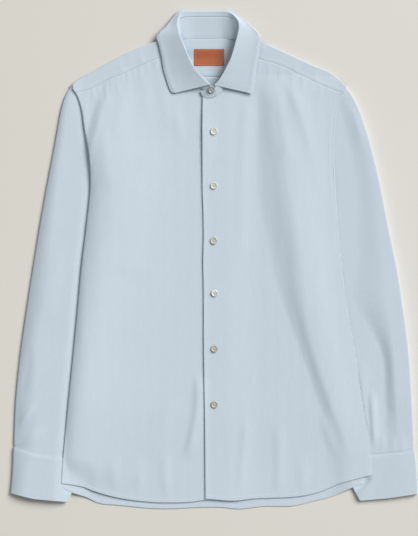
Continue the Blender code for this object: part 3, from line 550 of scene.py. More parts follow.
def over_sleeve(side, x, y):
    """From 0 clear of the sleeve to 1 over it: the shorter of the ways to its inner edge and its top end."""
    sign = outward(side)
    inside = sign * (x - inner_x(side, y)) * 0.97
    (x1, y1), (x2, y2) = SLEEVE_TOP[side]
    length = math.hypot(x2 - x1, y2 - y1)
    below_top = sign * ((x - x1) * (y1 - y2) - (y1 - y) * (x2 - x1)) / length
    depth = -larger(-inside, -below_top, 8.0)
    return ease((depth + CLIMB_BEFORE) / (CLIMB_BEFORE + CLIMB_AFTER))


def base_height(x, y):
    """Mid-height of the back: on the floor, over the leaf behind the neck, or over a sleeve."""
    wall = size("wall")
    height = np.full(np.broadcast(x, y).shape, wall / 2)
    near_neck = ease((y - 312) / 20) * ease((NECK_LIFT_HALF - np.abs(x - collar_centre(345.0))) / 12)
    height = height + NECK_LIFT * near_neck
    for side in ("right", "left"):
        lift = sleeve_upper(side, x, y) + wall / 2 + UNDER_GAP
        height = height + over_sleeve(side, x, y) * lift * np.where(x * outward(side) > 0, 1.0, 0.0)
    return height + creases(x, y, CREASES["back"])


def right_rise(x, y):
    """The right front over its hidden sleeve: full height at the crest, dying away towards the middle."""
    crest = by_height(RISE_RIGHT, RISE_RIGHT_COLUMNS, "crest", y)
    rise = by_height(RISE_RIGHT, RISE_RIGHT_COLUMNS, "rise", y)
    past = CREST_SOFT * np.logaddexp(0, (x - crest) / CREST_SOFT)
    return rise * np.exp(-past / RISE_FADE)


def left_rise(x, y):
    """The left front over its hidden sleeve: one eased step, then a slow further rise."""
    centre, half_width, rise, tail = (
        by_height(RISE_LEFT, RISE_LEFT_COLUMNS, name, y) for name in RISE_LEFT_COLUMNS[1:]
    )
    step = ease((x - centre + half_width) / (2 * half_width))
    return rise * step + tail * (1 - np.exp(-np.maximum(x - centre, 0) / 42))


def gathers(side, x, y):
    """Short soft folds that start at the yoke's front seam."""
    seam = line_of(FRONT_SEAM[side], x)
    sign = outward(side)
    rows = []
    for at, height, length in GATHERS[side]:
        top = float(line_of(FRONT_SEAM[side], np.array([float(at)]))[0])
        rows.append((at, top + length / 2, at - 0.1 * sign * length, top - length, 0, 2.4, 4.0, height, 0.0))
    return creases(x, y, rows) * ease((seam - y) / 2.0 + 0.5)


def front_height(side, x, y):
    """Mid-height of a front: lofted over the back, with its rise and creases, sewn down at the armhole."""
    wall = size("wall")
    loft = size("loft") + (size("hem_loft") - size("loft")) * ease((-230 - y) / 110)
    from_side = -past_body(side, x, y)
    if side == "right":
        place, height = (by_height(STEP_RIGHT, STEP_COLUMNS, name, y) for name in STEP_COLUMNS[1:])
        fall = SIDE_FALL * ease((215 - y) / 120) * (1 - 0.4 * ease((-270 - y) / 90))
        rise = right_rise(x, y) - height * (1 - ease((x - place) / STEP_WIDTH + 0.5))
        rise = rise - fall * np.exp(-np.maximum(from_side, 0) / SIDE_FALL_LENGTH)
    else:
        rise = left_rise(x, y)
    settle = 1 - HEM_SETTLE * ease((hem_line("front_" + side, x) + HEM_SETTLE_LENGTH - y) / HEM_SETTLE_LENGTH)
    own = 1.5 * wall + loft + rise * settle + creases(x, y, CREASES["front_" + side]) + gathers(side, x, y)
    height = larger(own, base_height(x, y) + wall + OVER_GAP, 1.0)
    if side == "left":
        sewn = wall / 2 + 2 * REST_HALF[side][0] + ARMHOLE_RAISE
        within = ease((ARMHOLE_HIGH - y) / 52)
        height = height + (sewn - height) * within * ease(1 - from_side / ARMHOLE_EASE)
        near, far = PLACKET_STEP
        on_right = front_height("right", x, y) + wall + PLACKET_GAP
        height = height + (on_right - height) * ease((far - x) / (far - near))
        lift = PLACKET_LIFT * bell((y - PLACKET_LIFT_Y) / PLACKET_LIFT_LENGTH)
        height = height + lift * ease((8 - x) / 24)
        height = height + PLACKET_LIP * np.exp(-np.maximum(x - placket_x(y), 0) / 5)
    return height


def collar_centre(y):
    """The collar's own centre line, which leans to one side towards the back."""
    return line_of(COLLAR_CENTRE, y)


def placket_x(y):
    """The placket edge that shows."""
    return line_of(PLACKET_EDGE, y)


def back_seam_y(x):
    """The yoke's back seam: level in the middle and lower towards the armholes."""
    return BACK_SEAM_Y - BACK_SEAM_DROP * ease((np.abs(x) - 40) / 150)


def flap_height(side, x, y):
    """The yoke's flap meets the front's top edge, a little above it."""
    return front_height(side, x, y) + FLAP_STEP


def neckline_y(side, x):
    """The neckline at the front, under the stand's base."""
    rows = STAND[:3:-1]
    base_y = column(rows, STAND_COLUMNS, "base_y")
    base_x = collar_centre(base_y) + outward(side) * column(rows, STAND_COLUMNS, "base_x")
    order = np.argsort(base_x)
    return smooth_curve(base_x[order], base_y[order], x)


# ---------------------------------------------------------------- meshes

ROUND = np.array([0.0, 0.134, 0.5, 1.0])  # insets of a rounded edge, as shares of its radius
SETTLE_TURNS = 14  # how often a piece's x and y are worked out from each other
FIRST_TOP, FIRST_LENGTH = 300, 640  # where the first turn takes a panel to lie


def stations(count, start, end):
    """Places along a line: insets from its start, count even places, and insets from its end."""
    start, end = np.asarray(start, float), np.asarray(end, float)
    middle = np.linspace(0, 1, count + 2)[1:-1]
    share = np.concatenate([np.zeros(len(start)), middle, np.ones(len(end))])
    inset = np.concatenate([start, np.full(count + len(end), start[-1])])
    outset = np.concatenate([np.full(len(start) + count, end[-1]), end[::-1]])
    return share, inset, outset


def rim(share, inset, outset, radius, end_radius=None):
    """Share of the full thickness at each station: a quarter circle in from each end."""
    end_radius = radius if end_radius is None else end_radius
    inside = np.where(share <= 0, inset / radius, np.where(share >= 1, outset / end_radius, 1.0))
    return np.sqrt(1 - (1 - np.clip(inside, 0, 1)) ** 2)


def unit(vectors):
    """Vectors at length 1."""
    return vectors / np.maximum(np.linalg.norm(vectors, axis=-1, keepdims=True), 1e-12)


def grid_normals(points, closed):
    """Unit normals of a grid: the cross product of its column and row differences."""
    down = np.gradient(points, axis=0)
    if closed:
        across = np.roll(points, -1, axis=1) - np.roll(points, 1, axis=1)
    else:
        across = np.gradient(points, axis=1)
    return unit(np.cross(across, down))


def grid_quads(ids, closed):
    """The corners of each cell of a grid of point numbers; if closed, its last column meets its first."""
    wide = np.concatenate([ids, ids[:, :1]], axis=1) if closed else ids
    return np.stack([wide[:-1, :-1], wide[:-1, 1:], wide[1:, 1:], wide[1:, :-1]], axis=-1).reshape(-1, 4)


def shell(points, up, down, place, closed=False):
    """A closed wall on a grid: the grid moved out along its normals on both sides, sharing its border points.

    Gives (points, quads, places on the cloth). up and down must be 0 on the border.
    """
    normals = grid_normals(points, closed)
    middle = points.mean(axis=1, keepdims=True)
    outer = (normals * (points - middle)).sum() if closed else normals[..., 2].sum()
    if outer < 0:
        points, up, down, place, normals = (a[:, ::-1] for a in (points, up, down, place, -normals))
    rows, columns = points.shape[:2]
    upper_ids = np.arange(rows * columns).reshape(rows, columns)
    lower_ids = upper_ids.copy()
    inner = (slice(1, -1), slice(None)) if closed else (slice(1, -1), slice(1, -1))
    lower_ids[inner] = rows * columns + np.arange(lower_ids[inner].size).reshape(lower_ids[inner].shape)
    upper = points + normals * up[..., None]
    lower = (points - normals * down[..., None])[inner]
    vertices = np.concatenate([upper.reshape(-1, 3), lower.reshape(-1, 3)])
    places = np.concatenate([place.reshape(-1, 3), place[inner].reshape(-1, 3)])
    quads = [grid_quads(upper_ids, closed), grid_quads(lower_ids, closed)[:, (0, 3, 2, 1)]]
    return vertices, np.concatenate(quads), places


def place_object(name, data):
    """An object of this mesh, light or camera in the scene."""
    made = bpy.data.objects.new(name, data)
    bpy.context.scene.collection.objects.link(made)
    return made


def add_piece(name, parts, material):
    """An object of closed walls in millimetres, each (points, quads, places)."""
    offsets = np.cumsum([0] + [len(part[0]) for part in parts[:-1]])
    vertices = np.concatenate([part[0] for part in parts]) * MM
    quads = np.concatenate([part[1] + offset for part, offset in zip(parts, offsets)])
    places = np.concatenate([part[2] for part in parts]) * MM
    mesh = bpy.data.meshes.new(name)
    mesh.vertices.add(len(vertices))
    mesh.vertices.foreach_set("co", vertices.astype(np.float32).ravel())
    sides = quads.shape[1]
    mesh.loops.add(quads.size)
    mesh.loops.foreach_set("vertex_index", quads.astype(np.int32).ravel())
    mesh.polygons.add(len(quads))
    mesh.polygons.foreach_set("loop_start", np.arange(0, quads.size, sides, dtype=np.int32))
    mesh.update(calc_edges=True)
    mesh.validate()
    attribute = mesh.attributes.new("cloth_place", "FLOAT_VECTOR", "POINT")
    attribute.data.foreach_set("vector", places.astype(np.float32).ravel())
    mesh.shade_smooth()
    mesh.materials.append(material)
    return place_object(name, mesh)


# A number for each piece, which sets its part of the cloth apart from the others'.
CLOTH_LAYERS = {
    "front_right": 1, "front_left": 2, "back": 3, "yoke": 4, "flap": 5, "sleeve_right": 6, "sleeve_left": 7,
    "cuff_right": 8, "cuff_left": 9, "stand": 10, "leaf": 11, "label": 12,
}
LAYERS_APART = 40.0


def on_cloth(x, y, name):
    """The places on the cloth of a flat panel's points: their plan, and the piece's layer."""
    x, y = np.broadcast_arrays(x, y)
    return np.stack([x, y, np.full(x.shape, LAYERS_APART * CLOTH_LAYERS[name])], axis=-1)


def panel(low, high, top, bottom, across, down):
    """Plan points between two sides, low(y) and high(y), and two ends, top(x) and bottom(x).

    The two depend on each other, so they are settled in turns.
    """
    down_share, down_inset, down_outset = (a[:, None] for a in down)
    share, inset, outset = across
    y = FIRST_TOP - FIRST_LENGTH * down_share + 0 * share
    for _ in range(SETTLE_TURNS):
        left, right = low(y), high(y)
        way = np.sign(right - left)
        x = left + way * (inset + (np.abs(right - left) - inset - outset) * share)
        start, end = top(x), bottom(x)
        y = start - down_inset - (start - end - down_inset - down_outset) * down_share
    return x, y


def hem_line(name, x):
    """The edge of this hem."""
    return line_of(HEMS[name], x)


# ---------------------------------------------------------------- the two fronts and the back

HEM_WIDTH = 5.6
HEM_STITCH = HEM_WIDTH - 1.1
HEM_RAISE = 0.18
HEM_INSETS = (1.5, 3.0, 4.4, 5.1, 5.5, 5.9, 6.4, 7.4, 9.0)
GROOVE = 0.10  # depth of the line a stitch row presses in
SIDE_TURN = 1.2  # radius of the right front's side edge, which is turned down
SIDE_THIN, SIDE_THIN_WIDTH = 0.5, 8.0  # the left front's wall is drawn this thin at its side
JOIN_ROUND = 0.08  # radius of the edges of two pieces sewn edge to edge
TURN_ANGLES = np.radians([22.5, 45.0, 67.5, 90.0])
FLAT_INSETS = np.array([0.0, 0.067, 0.25, 0.5, 1.0, 1.6, 2.2, 2.8, 3.4])
BACK_TUCK = 1.1  # the back's edge stays this far inside the front's turned edge
FRONT_COLUMNS, FRONT_ROWS = 104, 286
BACK_COLUMNS, BACK_ROWS = 108, 150


def hem_band(distance):
    """Extra height of a turned hem with its pressed stitch line, at this distance from the edge."""
    band = ease((HEM_WIDTH + 0.25 - distance) / 0.5) * ease(distance / 0.5)
    return HEM_RAISE * band - GROOVE * bell((distance - HEM_STITCH) / 0.45)


def turned_side(x, y, z):
    """The right front's side edge: a quarter circle down, then straight down to the back or the sleeve."""
    on_back = base_height(x, y) - 0.2
    on_sleeve = sleeve_upper("right", x, y) + size("wall") / 2 + 0.15
    foot = on_back + (on_sleeve - on_back) * ease((y - ARMHOLE_LOW) / 20)
    z[:, 5:9] -= SIDE_TURN * (1 - np.sin(TURN_ANGLES))
    z[:, 4] -= SIDE_TURN
    z[:, :4] = foot[:, :4] + FLAT_INSETS[:4]


def front_shell(side):
    """A front: its mid-heights over its plan, its hem raised, the right one's side turned down."""
    wall = size("wall")
    edge_round = ROUND * wall / 2
    share, flat, outset = (a[None, :] for a in stations(FRONT_COLUMNS, FLAT_INSETS, edge_round))
    inset = flat
    if side == "right":
        turned = np.concatenate([np.zeros(5), SIDE_TURN * (1 - np.cos(TURN_ANGLES))])
        inset = stations(FRONT_COLUMNS, turned, edge_round)[1][None, :]
    seam, sign = FRONT_SEAM[side], outward(side)
    neck_end = sign * min(sign * x for x, _ in seam)

    def body_edge(y):
        return side_x(side + "_body", y)

    def inner_edge(y):
        return np.full(np.shape(y), PLACKET_UNDER) if side == "right" else placket_x(y)

    def top(x):
        under_yoke = line_of(seam, x)
        at_neck = neckline_y(side, x) + 2.5
        return np.where(sign * x > sign * neck_end, under_yoke, np.minimum(at_neck, under_yoke))

    def bottom(x):
        return hem_line("front_" + side, x)

    down = stations(FRONT_ROWS, ROUND * JOIN_ROUND, np.concatenate([edge_round, HEM_INSETS]))
    x, y = panel(body_edge, inner_edge, top, bottom, (share, inset, outset), down)
    z = front_height(side, x, y)
    thin = rim(*down, JOIN_ROUND, wall / 2)[:, None] * rim(share, flat, outset, wall / 2)
    if side == "right":
        turned_side(body_edge(y), y, z)
    else:
        thin = thin * (SIDE_THIN + (1 - SIDE_THIN) * ease((body_edge(y) - x) / SIDE_THIN_WIDTH))
    up = thin * (wall / 2 + hem_band(y - bottom(x)))
    points = np.stack([x, y, z], axis=-1)
    return shell(points, up, thin * wall / 2, on_cloth(x, y, "front_" + side))


def armhole_inset(side, y):
    """How far inside the front's edge the back's edge lies: more along the armhole."""
    return BACK_TUCK + ARMHOLE_INSET * ease((y - 100) / 30 if side == "right" else (y + 420) / 60)


def back_shell():
    """The back: its mid-heights over its plan, the hem's band raised."""
    wall = size("wall")
    edge_round = ROUND * wall / 2
    share, inset, outset = (a[None, :] for a in stations(BACK_COLUMNS, edge_round, edge_round))
    down = stations(BACK_ROWS, ROUND * JOIN_ROUND, np.concatenate([edge_round, HEM_INSETS]))
    x, y = panel(
        lambda y: side_x("right_body", y) + armhole_inset("right", y),
        lambda y: side_x("left_body", y) - armhole_inset("left", y),
        back_seam_y,
        lambda x: hem_line("back", x),
        (share, inset, outset),
        down,
    )
    thin = rim(*down, JOIN_ROUND, wall / 2)[:, None] * rim(share, inset, outset, wall / 2)
    up = thin * (wall / 2 + hem_band(y - hem_line("back", x)))
    points = np.stack([x, y, base_height(x, y)], axis=-1)
    return shell(points, up, thin * wall / 2, on_cloth(x, y, "back"))


# ---------------------------------------------------------------- yoke

YOKE_COLUMNS, FLAP_COLUMNS = 120, 100
YOKE_ROWS, FLAP_ROWS = 30, 12
NECKLINE_TOP = 345.2
FOLD_ANGLES = np.radians(np.linspace(-90, 90, 15))
FOLD_FLAT = 0.4  # a shoulder fold's plan width as a share of its half height
WELT_WIDTH = 6.5
WELT_RAISE = 0.10
WELT_INSETS = (1.0, 1.6, 2.0, 2.4, 3.4, 4.6, 5.8, 6.4, 7.0)
FLAP_STITCH = 2.0
YOKE_CREASES = (
    (-30, 343, -26.5, 331, 0, 1.2, 1, 0.55, 0),
    (-27, 343, -23.5, 333, 0, 1.2, 1, 0.40, 0),
    (4, 343, 8, 334, 0, 2, 2, 0.25, 0),
)
FLAP_CREASES = (
    (-150, 312, -140, 286, 0, 5, 5, 0.5, 0),
    (-118, 326, -110, 300, 0, 5, 5, 0.4, 0),
    (130, 312, 126, 288, 0, 5, 5, 0.4, 0),
    (160, 298, 156, 272, 0, 4, 4, 0.5, 0),
)


def fold_heights(side, x):
    """The yoke's shoulder fold: its y, its lower mid-height and its radius."""
    y = line_of(SHOULDER[side], x)
    low = base_height(x, y)
    return y, low, np.maximum((flap_height(side, x, y) - low) / 2, 1.0)


def yoke_top(x):
    """The end of the yoke's back part: just under each shoulder fold, and the neckline between them."""
    top = NECKLINE_TOP
    for side, neck in (("right", SHOULDER["right"][-1][0]), ("left", SHOULDER["left"][0][0])):
        y, _, radius = fold_heights(side, x)
        top = top + (y - FOLD_FLAT * radius - NECKLINE_TOP) * ease(outward(side) * (x - neck) / 4 + 0.5)
    return top


def welt(above_seam):
    """Extra height of the yoke's edge: a raised band beside its seam, with its pressed stitch line."""
    band = WELT_RAISE * ease((WELT_WIDTH - above_seam) / 0.6)
    return band - GROOVE * bell((above_seam - FLAP_STITCH) / 0.5)


def yoke_shells():
    """The yoke: its back part under the shoulder folds, and its two flaps over them to the front."""
    wall = size("wall")
    edge_round = ROUND * wall / 2
    share, inset, outset = (a[None, :] for a in stations(YOKE_COLUMNS, edge_round, edge_round))
    down = stations(YOKE_ROWS, edge_round, ROUND * JOIN_ROUND)

    def inset_at(y):
        return 1.5 + 13 * ease((262 - y) / 14)

    x, y = panel(
        lambda y: np.maximum(SHOULDER["right"][0][0] + 1.0, side_x("right_body", y) + inset_at(y)),
        lambda y: np.minimum(SHOULDER["left"][-1][0] - 1.0, side_x("left_body", y) - inset_at(y)),
        lambda x: yoke_top(x) - 0.1,
        back_seam_y,
        (share, inset, outset),
        down,
    )
    thin = rim(*down, wall / 2, JOIN_ROUND)[:, None] * rim(share, inset, outset, wall / 2)
    z = base_height(x, y) + creases(x, y, YOKE_CREASES)
    up = thin * (wall / 2 + welt(y - back_seam_y(x)))
    place = on_cloth(x, y, "yoke")
    inside = shell(np.stack([x, y, z], axis=-1), up, thin * wall / 2, place)
    return [inside, flap_shell("right"), flap_shell("left")]


def flap_shell(side):
    """A shoulder: round the fold from the underside, then down over the front to the yoke's front seam."""
    wall = size("wall")
    edge_round = ROUND * wall / 2
    neck, tip = sorted((point[0] for point in (SHOULDER[side][0], SHOULDER[side][-1])), key=abs)
    sign = outward(side)
    share, inset, outset = (a[None, :] for a in stations(FLAP_COLUMNS, edge_round, edge_round))

    def arm_edge(y):
        return sign * np.minimum(sign * (tip - sign), sign * side_x(side + "_body", y))

    def top(x):
        fold_y, _, radius = fold_heights(side, x)
        return fold_y - FOLD_FLAT * radius

    down = stations(FLAP_ROWS, (0.0,), np.concatenate([ROUND * JOIN_ROUND, WELT_INSETS]))
    x, y = panel(
        lambda y: np.full(np.shape(y), neck),
        arm_edge,
        top,
        lambda x: line_of(FRONT_SEAM[side], x),
        (share, inset, outset),
        down,
    )
    z = flap_height(side, x, y) + creases(x, y, FLAP_CREASES)
    fold_y, low, radius = fold_heights(side, x[0])
    turn = FOLD_ANGLES[:-1, None]
    half = (z[0] - low) / 2
    arc_y = y[0] + FOLD_FLAT * radius * np.cos(turn)
    arc_z = low + half + half * np.sin(turn)
    arc = np.stack([np.broadcast_to(x[0], arc_y.shape), arc_y, arc_z], axis=-1)
    flat = np.stack([x, y, z], axis=-1)
    points = np.concatenate([arc, flat])
    from_start = np.arange(len(points))[:, None]
    start_thin = np.clip(np.sqrt(from_start / 3.0), 0, 1)
    end_thin = np.concatenate([np.ones(len(arc)), rim(*down, wall / 2, JOIN_ROUND)])[:, None]
    end_thin[len(arc)] = 1.0  # where arc and flap join, the flap has no rim
    thin = start_thin * end_thin * rim(share, inset, outset, wall / 2)
    raised = welt(points[..., 1] - line_of(FRONT_SEAM[side], points[..., 0]))
    raised[: len(arc)] = 0
    along = points[..., 1].copy()
    along[: len(arc)] = y[0] + radius * (math.pi / 2 - turn)
    place = on_cloth(points[..., 0], along, "flap")
    return shell(points, thin * (wall / 2 + raised), thin * wall / 2, place)


# ---------------------------------------------------------------- sleeves and cuffs

RING_UPPER, RING_LOWER = 62, 14
OUTER_ANGLES = np.radians(np.linspace(0, 90, 8))
INNER_ANGLES = np.radians(np.linspace(0, 90, 6))
SLEEVE_ROWS, CUFF_ROWS = 232, 22
TUCK = 2.2  # a sleeve's upper layer runs on under its cuff by this much
CUFF_FOLD = {"right": (1.6, 1.6), "left": (0.4, 2.3)}  # plan width and half height of a cuff's outer fold
CUFF_INNER_FOLD = 1.6
CUFF_OVER = 0.24  # how much higher half the cuff stands than half the sleeve's end in it
CUFF_SEAM_ROUND = 0.25
CUFF_SEAM_GAP = 0.35
CUFF_HALF = {"right": (1.4, 0.8), "left": (2.3, 0.9)}  # half height of a cuff, shown and covered
CUFF_BELOW_HEM, CUFF_BELOW_EASE = 40.0, 18.0  # below the body's hem it is uncovered, over this length
CUFF_SEAM_THIN, CUFF_SEAM_RAMP = 0.25, 5.0  # a cuff's wall at its seam, and where it is whole again
CUFF_INSETS = (1.4, 2.4, 3.4, 4.2, 4.7, 5.2, 5.7, 6.6, 8.0)
CUFF_STITCH = 4.8
SLEEVE_END_IN = 1.3  # how much narrower the sleeve's end is than its cuff


def ring_columns():
    """The columns round a pressed tube: the share of the outer fold, of the middle and of the inner fold, and
    the layer, from 1 on the upper side through 0 at a fold's edge to -1 on the lower side."""
    outer, inner = 1 - np.cos(OUTER_ANGLES), 1 - np.cos(INNER_ANGLES[::-1])
    upper_middle = np.linspace(0, 1, RING_UPPER + 2)[1:-1]
    lower_middle = np.linspace(1, 0, RING_LOWER + 2)[1:-1]
    pieces = (
        (outer, 0.0, np.nan, 1.0),
        (1.0, upper_middle, np.nan, 1.0),
        (1.0, 1.0, inner, 1.0),
        (1.0, 1.0, inner[-2::-1], -1.0),
        (1.0, lower_middle, np.nan, -1.0),
        (outer[:0:-1], 0.0, np.nan, -1.0),
    )
    return [np.concatenate(parts) for parts in zip(*(np.broadcast_arrays(*piece) for piece in pieces))]


def tube(side, top, bottom, down, outer_fold, inner_fold, inset, tuck):
    """Plan points of a pressed tube and each column's distance in from the outer edge.

    Across: the outer fold, the middle, the inner fold; down: from top(x, share across) to bottom(x).
    """
    outer_share, middle_share, inner_share, layer = (a[None, :] for a in ring_columns())
    down_share, down_inset, down_outset = (a[:, None] for a in down)
    on_inner = ~np.isnan(inner_share)
    y = np.zeros((down_share.shape[0], outer_share.shape[1]))
    sign = outward(side)
    for _ in range(SETTLE_TURNS):
        narrow = inset(y)
        outer = side_x(side + "_sleeve", y) - sign * narrow
        inner = inner_x(side, y) + sign * narrow
        width = np.abs(inner - outer)
        in_fold = outer_share * outer_fold
        in_middle = outer_fold + (width - outer_fold - inner_fold) * middle_share
        in_inner = width - inner_fold * np.nan_to_num(inner_share)
        distance = np.where(on_inner, in_inner, np.where(outer_share < 1, in_fold, in_middle))
        x = outer - sign * distance
        start = top(x, distance / width)
        end = bottom(x)
        y = start - down_inset - (start - end - down_inset - down_outset) * down_share
        y = y - tuck(layer, distance, width) * down_share**40
    return x, y, distance, width, np.broadcast_to(layer, x.shape)


def round_share(distance, radius):
    """Height share of a fold at this distance in from its edge: a half circle's."""
    inside = np.clip(distance / radius, 0, 1)
    return np.sqrt(np.maximum(1 - (1 - inside) ** 2, 0))


def sleeve_shell(side):
    """A sleeve: a tube pressed to its half heights, narrowing into its cuff at its end."""
    wall = size("wall")
    (_, y1), (_, y2) = SLEEVE_TOP[side]
    outer_fold, inner_fold = OUTER_FOLD[side][0], size("inner_fold")
    end_round = ROUND * wall / 2
    down = stations(SLEEVE_ROWS, end_round, np.concatenate([end_round, (1.0, 1.8, 2.8, 4.0, 5.5)]))

    def seam(x):
        return line_of(CUFF_SEAM[side], x)

    def narrow(y):
        return SLEEVE_END_IN * ease((-286 - y) / 10)

    def tuck(layer, distance, width):
        near = np.minimum(distance / outer_fold, (width - distance) / inner_fold)
        return TUCK * 0.5 * (1 + layer * np.clip(near, 0, 1)) - 0.3

    x, y, distance, width, layer = tube(
        side, lambda x, s: y1 + (y2 - y1) * s, seam, down, outer_fold, inner_fold, narrow, tuck
    )
    from_inner = width - distance
    half = pressed_half(side, distance, from_inner, x, y)
    near_cuff = ease((seam(x) + 1.8 - y) / 1.6)
    upper_end = cuff_half(side, distance, from_inner, x, y) - CUFF_OVER
    half = half + (np.minimum(half, upper_end) - half) * near_cuff
    shape = np.minimum(round_share(distance, outer_fold), round_share(from_inner, inner_fold))
    lift = ((size("cuff_wall") - wall) / 2 + CUFF_OVER) * near_cuff
    centre = wall / 2 + half + lift
    folds = creases(x, y, CREASES["sleeve_" + side]) * ease(np.minimum(distance, from_inner) / 12)
    z = centre + np.sign(layer) * half * shape
    upper = layer > 0
    z = z + np.where(upper, folds, 0)
    lower_down = np.where(upper, 0, (size("cuff_wall") / 2 + CUFF_OVER) * near_cuff)
    z = z - lower_down * shape * 0.9
    thin = rim(*down, wall / 2)[:, None] * (1 - 0.5 * near_cuff)
    points = np.stack([x, y, z], axis=-1)
    place = on_cloth(np.where(upper, distance, -distance), y, "sleeve_" + side)
    return shell(points, thin * wall / 2, thin * wall / 2, place, closed=True)


def cuff_top(side, x):
    """A cuff's upper edge, a little below the sleeve's seam."""
    return line_of(CUFF_SEAM[side], x) - CUFF_SEAM_GAP


def cuff_bottom(side, x):
    """A cuff's lower edge: straight runs between its corners."""
    corners = CUFF_BOTTOM[side]
    return np.interp(x, [p[0] for p in corners], [p[1] for p in corners])


def cuff_half(side, from_outer, from_inner, x, y):
    """Half height of a cuff: its two folds settling to the flat height, and the sleeve's puff carried on."""
    width, fold = CUFF_FOLD[side]
    past_outer = np.maximum(from_outer - width, 0) / 20
    past_inner = np.maximum(from_inner - CUFF_INNER_FOLD, 0) / 12
    below_hem = CUFF_BELOW_HEM * ease((hem_line("back", x) - y) / CUFF_BELOW_EASE)
    flat = flat_half(CUFF_HALF[side], past_body(side, x, y) + below_hem)
    settled = flat + (fold - flat) * bell(past_outer) + (CUFF_INNER_FOLD - flat) * bell(past_inner)
    return settled + puff(side, from_outer, x, y) / 2


def cuff_shell(side):
    """A cuff: a pressed ring with a rounded lower edge and a pressed stitch line near both ends."""
    wall = size("cuff_wall")
    down = stations(
        CUFF_ROWS,
        np.concatenate([ROUND * CUFF_SEAM_ROUND, CUFF_INSETS]),
        np.concatenate([ROUND * wall / 2, CUFF_INSETS]),
    )
    x, y, distance, width, layer = tube(
        side,
        lambda x, s: cuff_top(side, x),
        lambda x: cuff_bottom(side, x),
        down,
        CUFF_FOLD[side][0],
        CUFF_INNER_FOLD,
        lambda y: -0.4 + 0 * y,
        lambda layer, distance, width: 0 * distance,
    )
    from_inner = width - distance
    below, above = cuff_top(side, x) - y, y - cuff_bottom(side, x)
    half = cuff_half(side, distance, from_inner, x, y)
    shape = np.minimum(round_share(distance, CUFF_FOLD[side][0]), round_share(from_inner, CUFF_INNER_FOLD))
    z = wall / 2 + half + np.sign(layer) * half * shape
    thin = rim(*down, CUFF_SEAM_ROUND, wall / 2)[:, None] + 0 * x
    thin = thin * (CUFF_SEAM_THIN + (1 - CUFF_SEAM_THIN) * ease(below / CUFF_SEAM_RAMP))
    pressed = GROOVE * bell((np.minimum(below, above) - CUFF_STITCH) / 0.5) * (layer > 0)
    up = thin * (wall / 2 - pressed)
    points = np.stack([x, y, z], axis=-1)
    place = on_cloth(np.where(layer > 0, distance, -distance), y, "cuff_" + side)
    return shell(points, up, thin * wall / 2, place, closed=True)


# ---------------------------------------------------------------- collar

COLLAR_STATIONS = 230
LEAF_ROWS = 44
LEAF_STEPS = 7  # rows between two of the leaf's own lines
LEAF_END_INSETS = (1.6, 2.6, 3.2, 3.6, 4.0, 4.6, 5.6)  # close rows and columns at the leaf's stitch line
STATION_LENGTH = 140.0  # of half the collar, by which its stations count
STAND_ROWS = 12
STITCH_IN = 3.6  # the leaf's stitch row from its edge
TAB_LENGTH, TAB_ROUND = 24.0, 9.0
BASE_THIN, BASE_RAMP = 0.4, 6.0  # how thin the stand's wall is at its base, and where it is whole again
TAB_DROP = 4.2  # how far the tab's lower edge dips in its middle
BEHIND_RAISE = -1.3  # the stand's middle over the yoke's, where it is sewn under the yoke behind the neck
SEAM_ROUND = 0.25  # radius of the edges that meet at the seam of stand and leaf
UNDER_TAB_LENGTH = 20.0
TIP_ROUND = 7.0  # the right leaf's worn point


def flap_or_front(side, x, y):
    """Mid-height of a front, or of the yoke's flap where that lies over it."""
    seam = line_of(FRONT_SEAM[side], x)
    return front_height(side, x, y) + FLAP_STEP * ease((y - seam + 2) / 4)


def surface_below(x, y):
    """Mid-height of what the collar stands or lies on."""
    on_left = flap_or_front("left", x, y)
    on_right = flap_or_front("right", x, y)
    top = np.where(x > placket_x(y) - 3, on_left, on_right)
    behind = base_height(x, y)
    beside = np.abs(x - collar_centre(y))
    in_front = np.maximum(ease((338 - y) / 8), ease((beside - 20) / 20))
    return behind + (top - behind) * in_front


def collar_station(rows, columns, name, t):
    """A named column of a collar table, its rows spaced evenly from the back, 0, to the button, 1."""
    values = column(rows, columns, name)
    return smooth_curve(np.linspace(0, 1, len(values)), values, np.abs(t))


def two_sided(rows, columns, name, t):
    """A column that each side of the collar has its own of."""
    right, left = (collar_station(rows, columns, f"{side}_{name}", t) for side in ("right", "left"))
    return np.where(t < 0, right, left)


def collar_line(rows, columns, part, t):
    """One line round the collar: its x from the leaning centre line, its z each side's own."""
    y = collar_station(rows, columns, part + "_y", t)
    x = collar_centre(y) + np.where(t < 0, -1.0, 1.0) * collar_station(rows, columns, part + "_x", t)
    return np.stack([x, y, two_sided(rows, columns, part + "_z", t)], axis=-1)


def collar_lines(t):
    """Base and roll points at stations t: -1 is the right front end and +1 the left."""
    sign = np.where(t < 0, -1.0, 1.0)
    base_y = collar_station(STAND, STAND_COLUMNS, "base_y", t)
    lean = np.where(t < 0, BASE_OUT["right"], BASE_OUT["left"]) * bell((np.abs(t) - 0.47) / 0.2)
    base_x = collar_centre(base_y) + sign * (collar_station(STAND, STAND_COLUMNS, "base_x", t) + lean)
    on_top = size("wall") / 2 + BASE_THIN * size("collar_wall") / 2 + 0.1
    raised = BEHIND_RAISE + (on_top - BEHIND_RAISE) * ease((np.abs(t) - 0.27) / 0.1)
    base = np.stack([base_x, base_y, surface_below(base_x, base_y) + raised], axis=-1)
    return base, collar_line(STAND, STAND_COLUMNS, "roll", t)


def tab_share(t):
    """From 0 to 1 towards the left front end, where the tabs lie over each other."""
    return ease((t - 0.82) / 0.14)[:, None]


def front_stations():
    """Stations round the collar, close together at its two front ends: insets there are in millimetres."""
    per_mm = 1 / STATION_LENGTH
    edge = np.concatenate([ROUND * size("collar_wall") / 2, LEAF_END_INSETS]) * per_mm
    share, inset, outset = stations(COLLAR_STATIONS, edge, edge)
    return -1 + inset + (2 - inset - outset) * share


